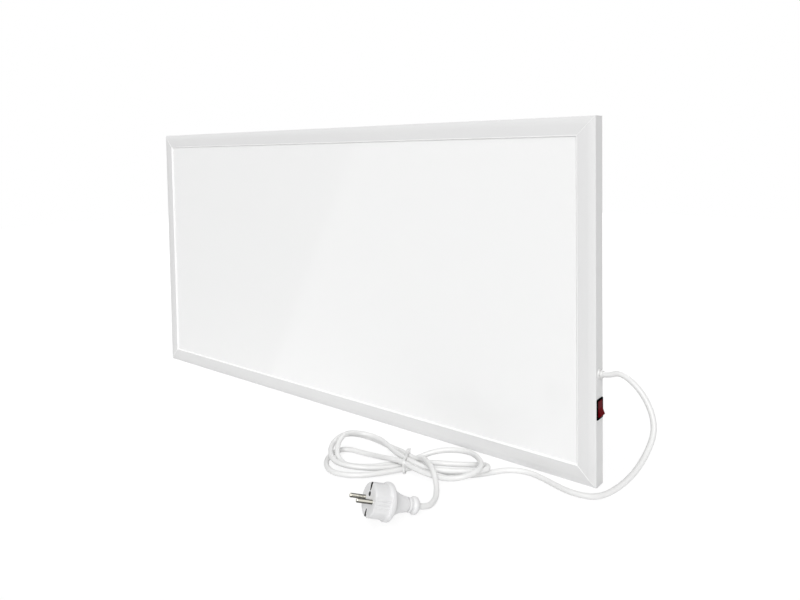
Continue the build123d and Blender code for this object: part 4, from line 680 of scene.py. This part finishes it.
def make_floor():
    """A matt floor that keeps the shadows and glows towards white, with a plain white bounce."""
    bpy.ops.mesh.primitive_plane_add(size=FLOOR_SIZE, location=(0.0, 0.0, -FLOOR_DROP))
    floor = bpy.context.object
    floor.name = "studio_floor"
    material, tree, out = empty_material("studio_floor_white")
    matt = tree.nodes.new("ShaderNodeBsdfDiffuse")
    matt.inputs["Color"].default_value = (*shade(FLOOR_TONE), 1.0)
    glow = tree.nodes.new("ShaderNodeEmission")
    place = tree.nodes.new("ShaderNodeTexCoord")
    away = tree.nodes.new("ShaderNodeVectorMath")
    away.operation = "DISTANCE"
    away.inputs[1].default_value = FLOOR_MIDDLE
    fade = tree.nodes.new("ShaderNodeMapRange")
    fade.interpolation_type = "SMOOTHSTEP"
    fade.inputs["From Min"].default_value = FLOOR_NEAR
    fade.inputs["From Max"].default_value = FLOOR_FAR
    fade.inputs["To Min"].default_value = FLOOR_GLOW
    fade.inputs["To Max"].default_value = FLOOR_GLOW_FAR
    tree.links.new(place.outputs["Object"], away.inputs[0])
    tree.links.new(away.outputs["Value"], fade.inputs["Value"])
    tree.links.new(fade.outputs["Result"], glow.inputs["Strength"])
    both = tree.nodes.new("ShaderNodeAddShader")
    bounce = tree.nodes.new("ShaderNodeBsdfDiffuse")
    bounce.inputs["Color"].default_value = (*shade(FLOOR_BOUNCE), 1.0)
    pick = tree.nodes.new("ShaderNodeMixShader")
    tree.links.new(matt.outputs[0], both.inputs[0])
    tree.links.new(glow.outputs[0], both.inputs[1])
    tree.links.new(shows_background(tree), pick.inputs[0])
    tree.links.new(bounce.outputs[0], pick.inputs[1])
    tree.links.new(both.outputs[0], pick.inputs[2])
    tree.links.new(pick.outputs[0], out.inputs["Surface"])
    floor.data.materials.append(material)
    floor.visible_glossy = False


def make_card():
    """A grey card that only reflections show."""
    data = bpy.data.meshes.new("dark_card_left")
    data.from_pydata(CARD_CORNERS, [], [tuple(range(len(CARD_CORNERS)))])
    card = link("dark_card_left", data)
    material, tree, out = empty_material("dark_card_left")
    glow = tree.nodes.new("ShaderNodeEmission")
    glow.inputs["Strength"].default_value = CARD_LEVEL
    tree.links.new(glow.outputs[0], out.inputs["Surface"])
    data.materials.append(material)
    card.visible_camera = False
    card.visible_diffuse = False
    card.visible_shadow = False
    card.visible_transmission = False


# ------------------------------------------------------------------ put together
def paint(material, *names):
    """Give the named CAD nodes this material and no other."""
    for name in names:
        mesh = nodes[name].data
        mesh.materials.clear()
        mesh.materials.append(material)


def finish_cad_nodes():
    """A material of its own for each group of the CAD nodes that stay."""
    paint(powder_coat("frame_coat_white", 0.765), "frame_bottom", "frame_left", "frame_top", "frame_right")
    paint(powder_coat("cover_coat_white", 0.78), "back_cover")
    paint(white_glass(), "front_panel")
    paint(metal("zinc_plate", ZINC, ZINC_ROUGHNESS),
          "hanger_bracket_1", "hanger_bracket_2", "hanger_bracket_3", "hanger_bracket_4",
          "corner_keys", "corner_screws", "earth_ring", "earth_screw")
    paint(metal("rivet_aluminium", (0.72, 0.72, 0.73), 0.45), "hanger_rivets")
    paint(pin_nickel(), "plug_pins", "plug_earth_clips")
    paint(metal("spring_brass", (0.72, 0.52, 0.22), 0.30),
          "rocker_plunger", "contact_lever", "switch_terminals", "cutout_blades", "push_on_connectors")
    paint(metal("busbar_copper", (0.75, 0.38, 0.24), 0.35), "busbars")
    paint(metal("foil_aluminium", (0.80, 0.80, 0.81), 0.25), "reflector_foil")
    paint(moulded("film_amber", (0.50, 0.24, 0.05), 0.35), "heating_film", "insulating_sheet")
    paint(moulded("board_fibre", (0.62, 0.60, 0.54), 0.9, grain=500.0, depth=0.0003), "insulation_board")
    paint(moulded("plastic_white", (0.86, 0.86, 0.855), 0.40), "terminal_block")
    paint(moulded("bushing_white", (0.74, 0.74, 0.735), 0.42), "cable_gland")
    paint(moulded("tie_nylon", (0.90, 0.90, 0.895), 0.30, clearness=0.25), "cable_tie")
    paint(moulded("switch_black", shade(0.003), 0.6, gloss=0.0), "switch_housing")
    paint(moulded("rocker_red", (0.115, 0.001, 0.004), 0.16, gloss=0.012), "rocker")
    paint(moulded("cutout_black", shade(0.03), 0.5), "thermal_cutout")
    paint(moulded("wire_brown", (0.12, 0.05, 0.02), 0.4), "wires_live")
    paint(moulded("wire_blue", (0.03, 0.12, 0.45), 0.4), "wires_neutral")
    paint(moulded("wire_green", (0.15, 0.40, 0.05), 0.4), "wire_earth")
    paint(cord_jacket(), "inlet_cable")


def main():
    bpy.context.scene.view_settings.view_transform = "Standard"
    make_camera()
    make_world()
    make_floor()
    make_lamps()
    make_card()
    finish_cad_nodes()
    make_cord(make_plug_body())
    make_frame_lines()
    make_cover_screws()


main()
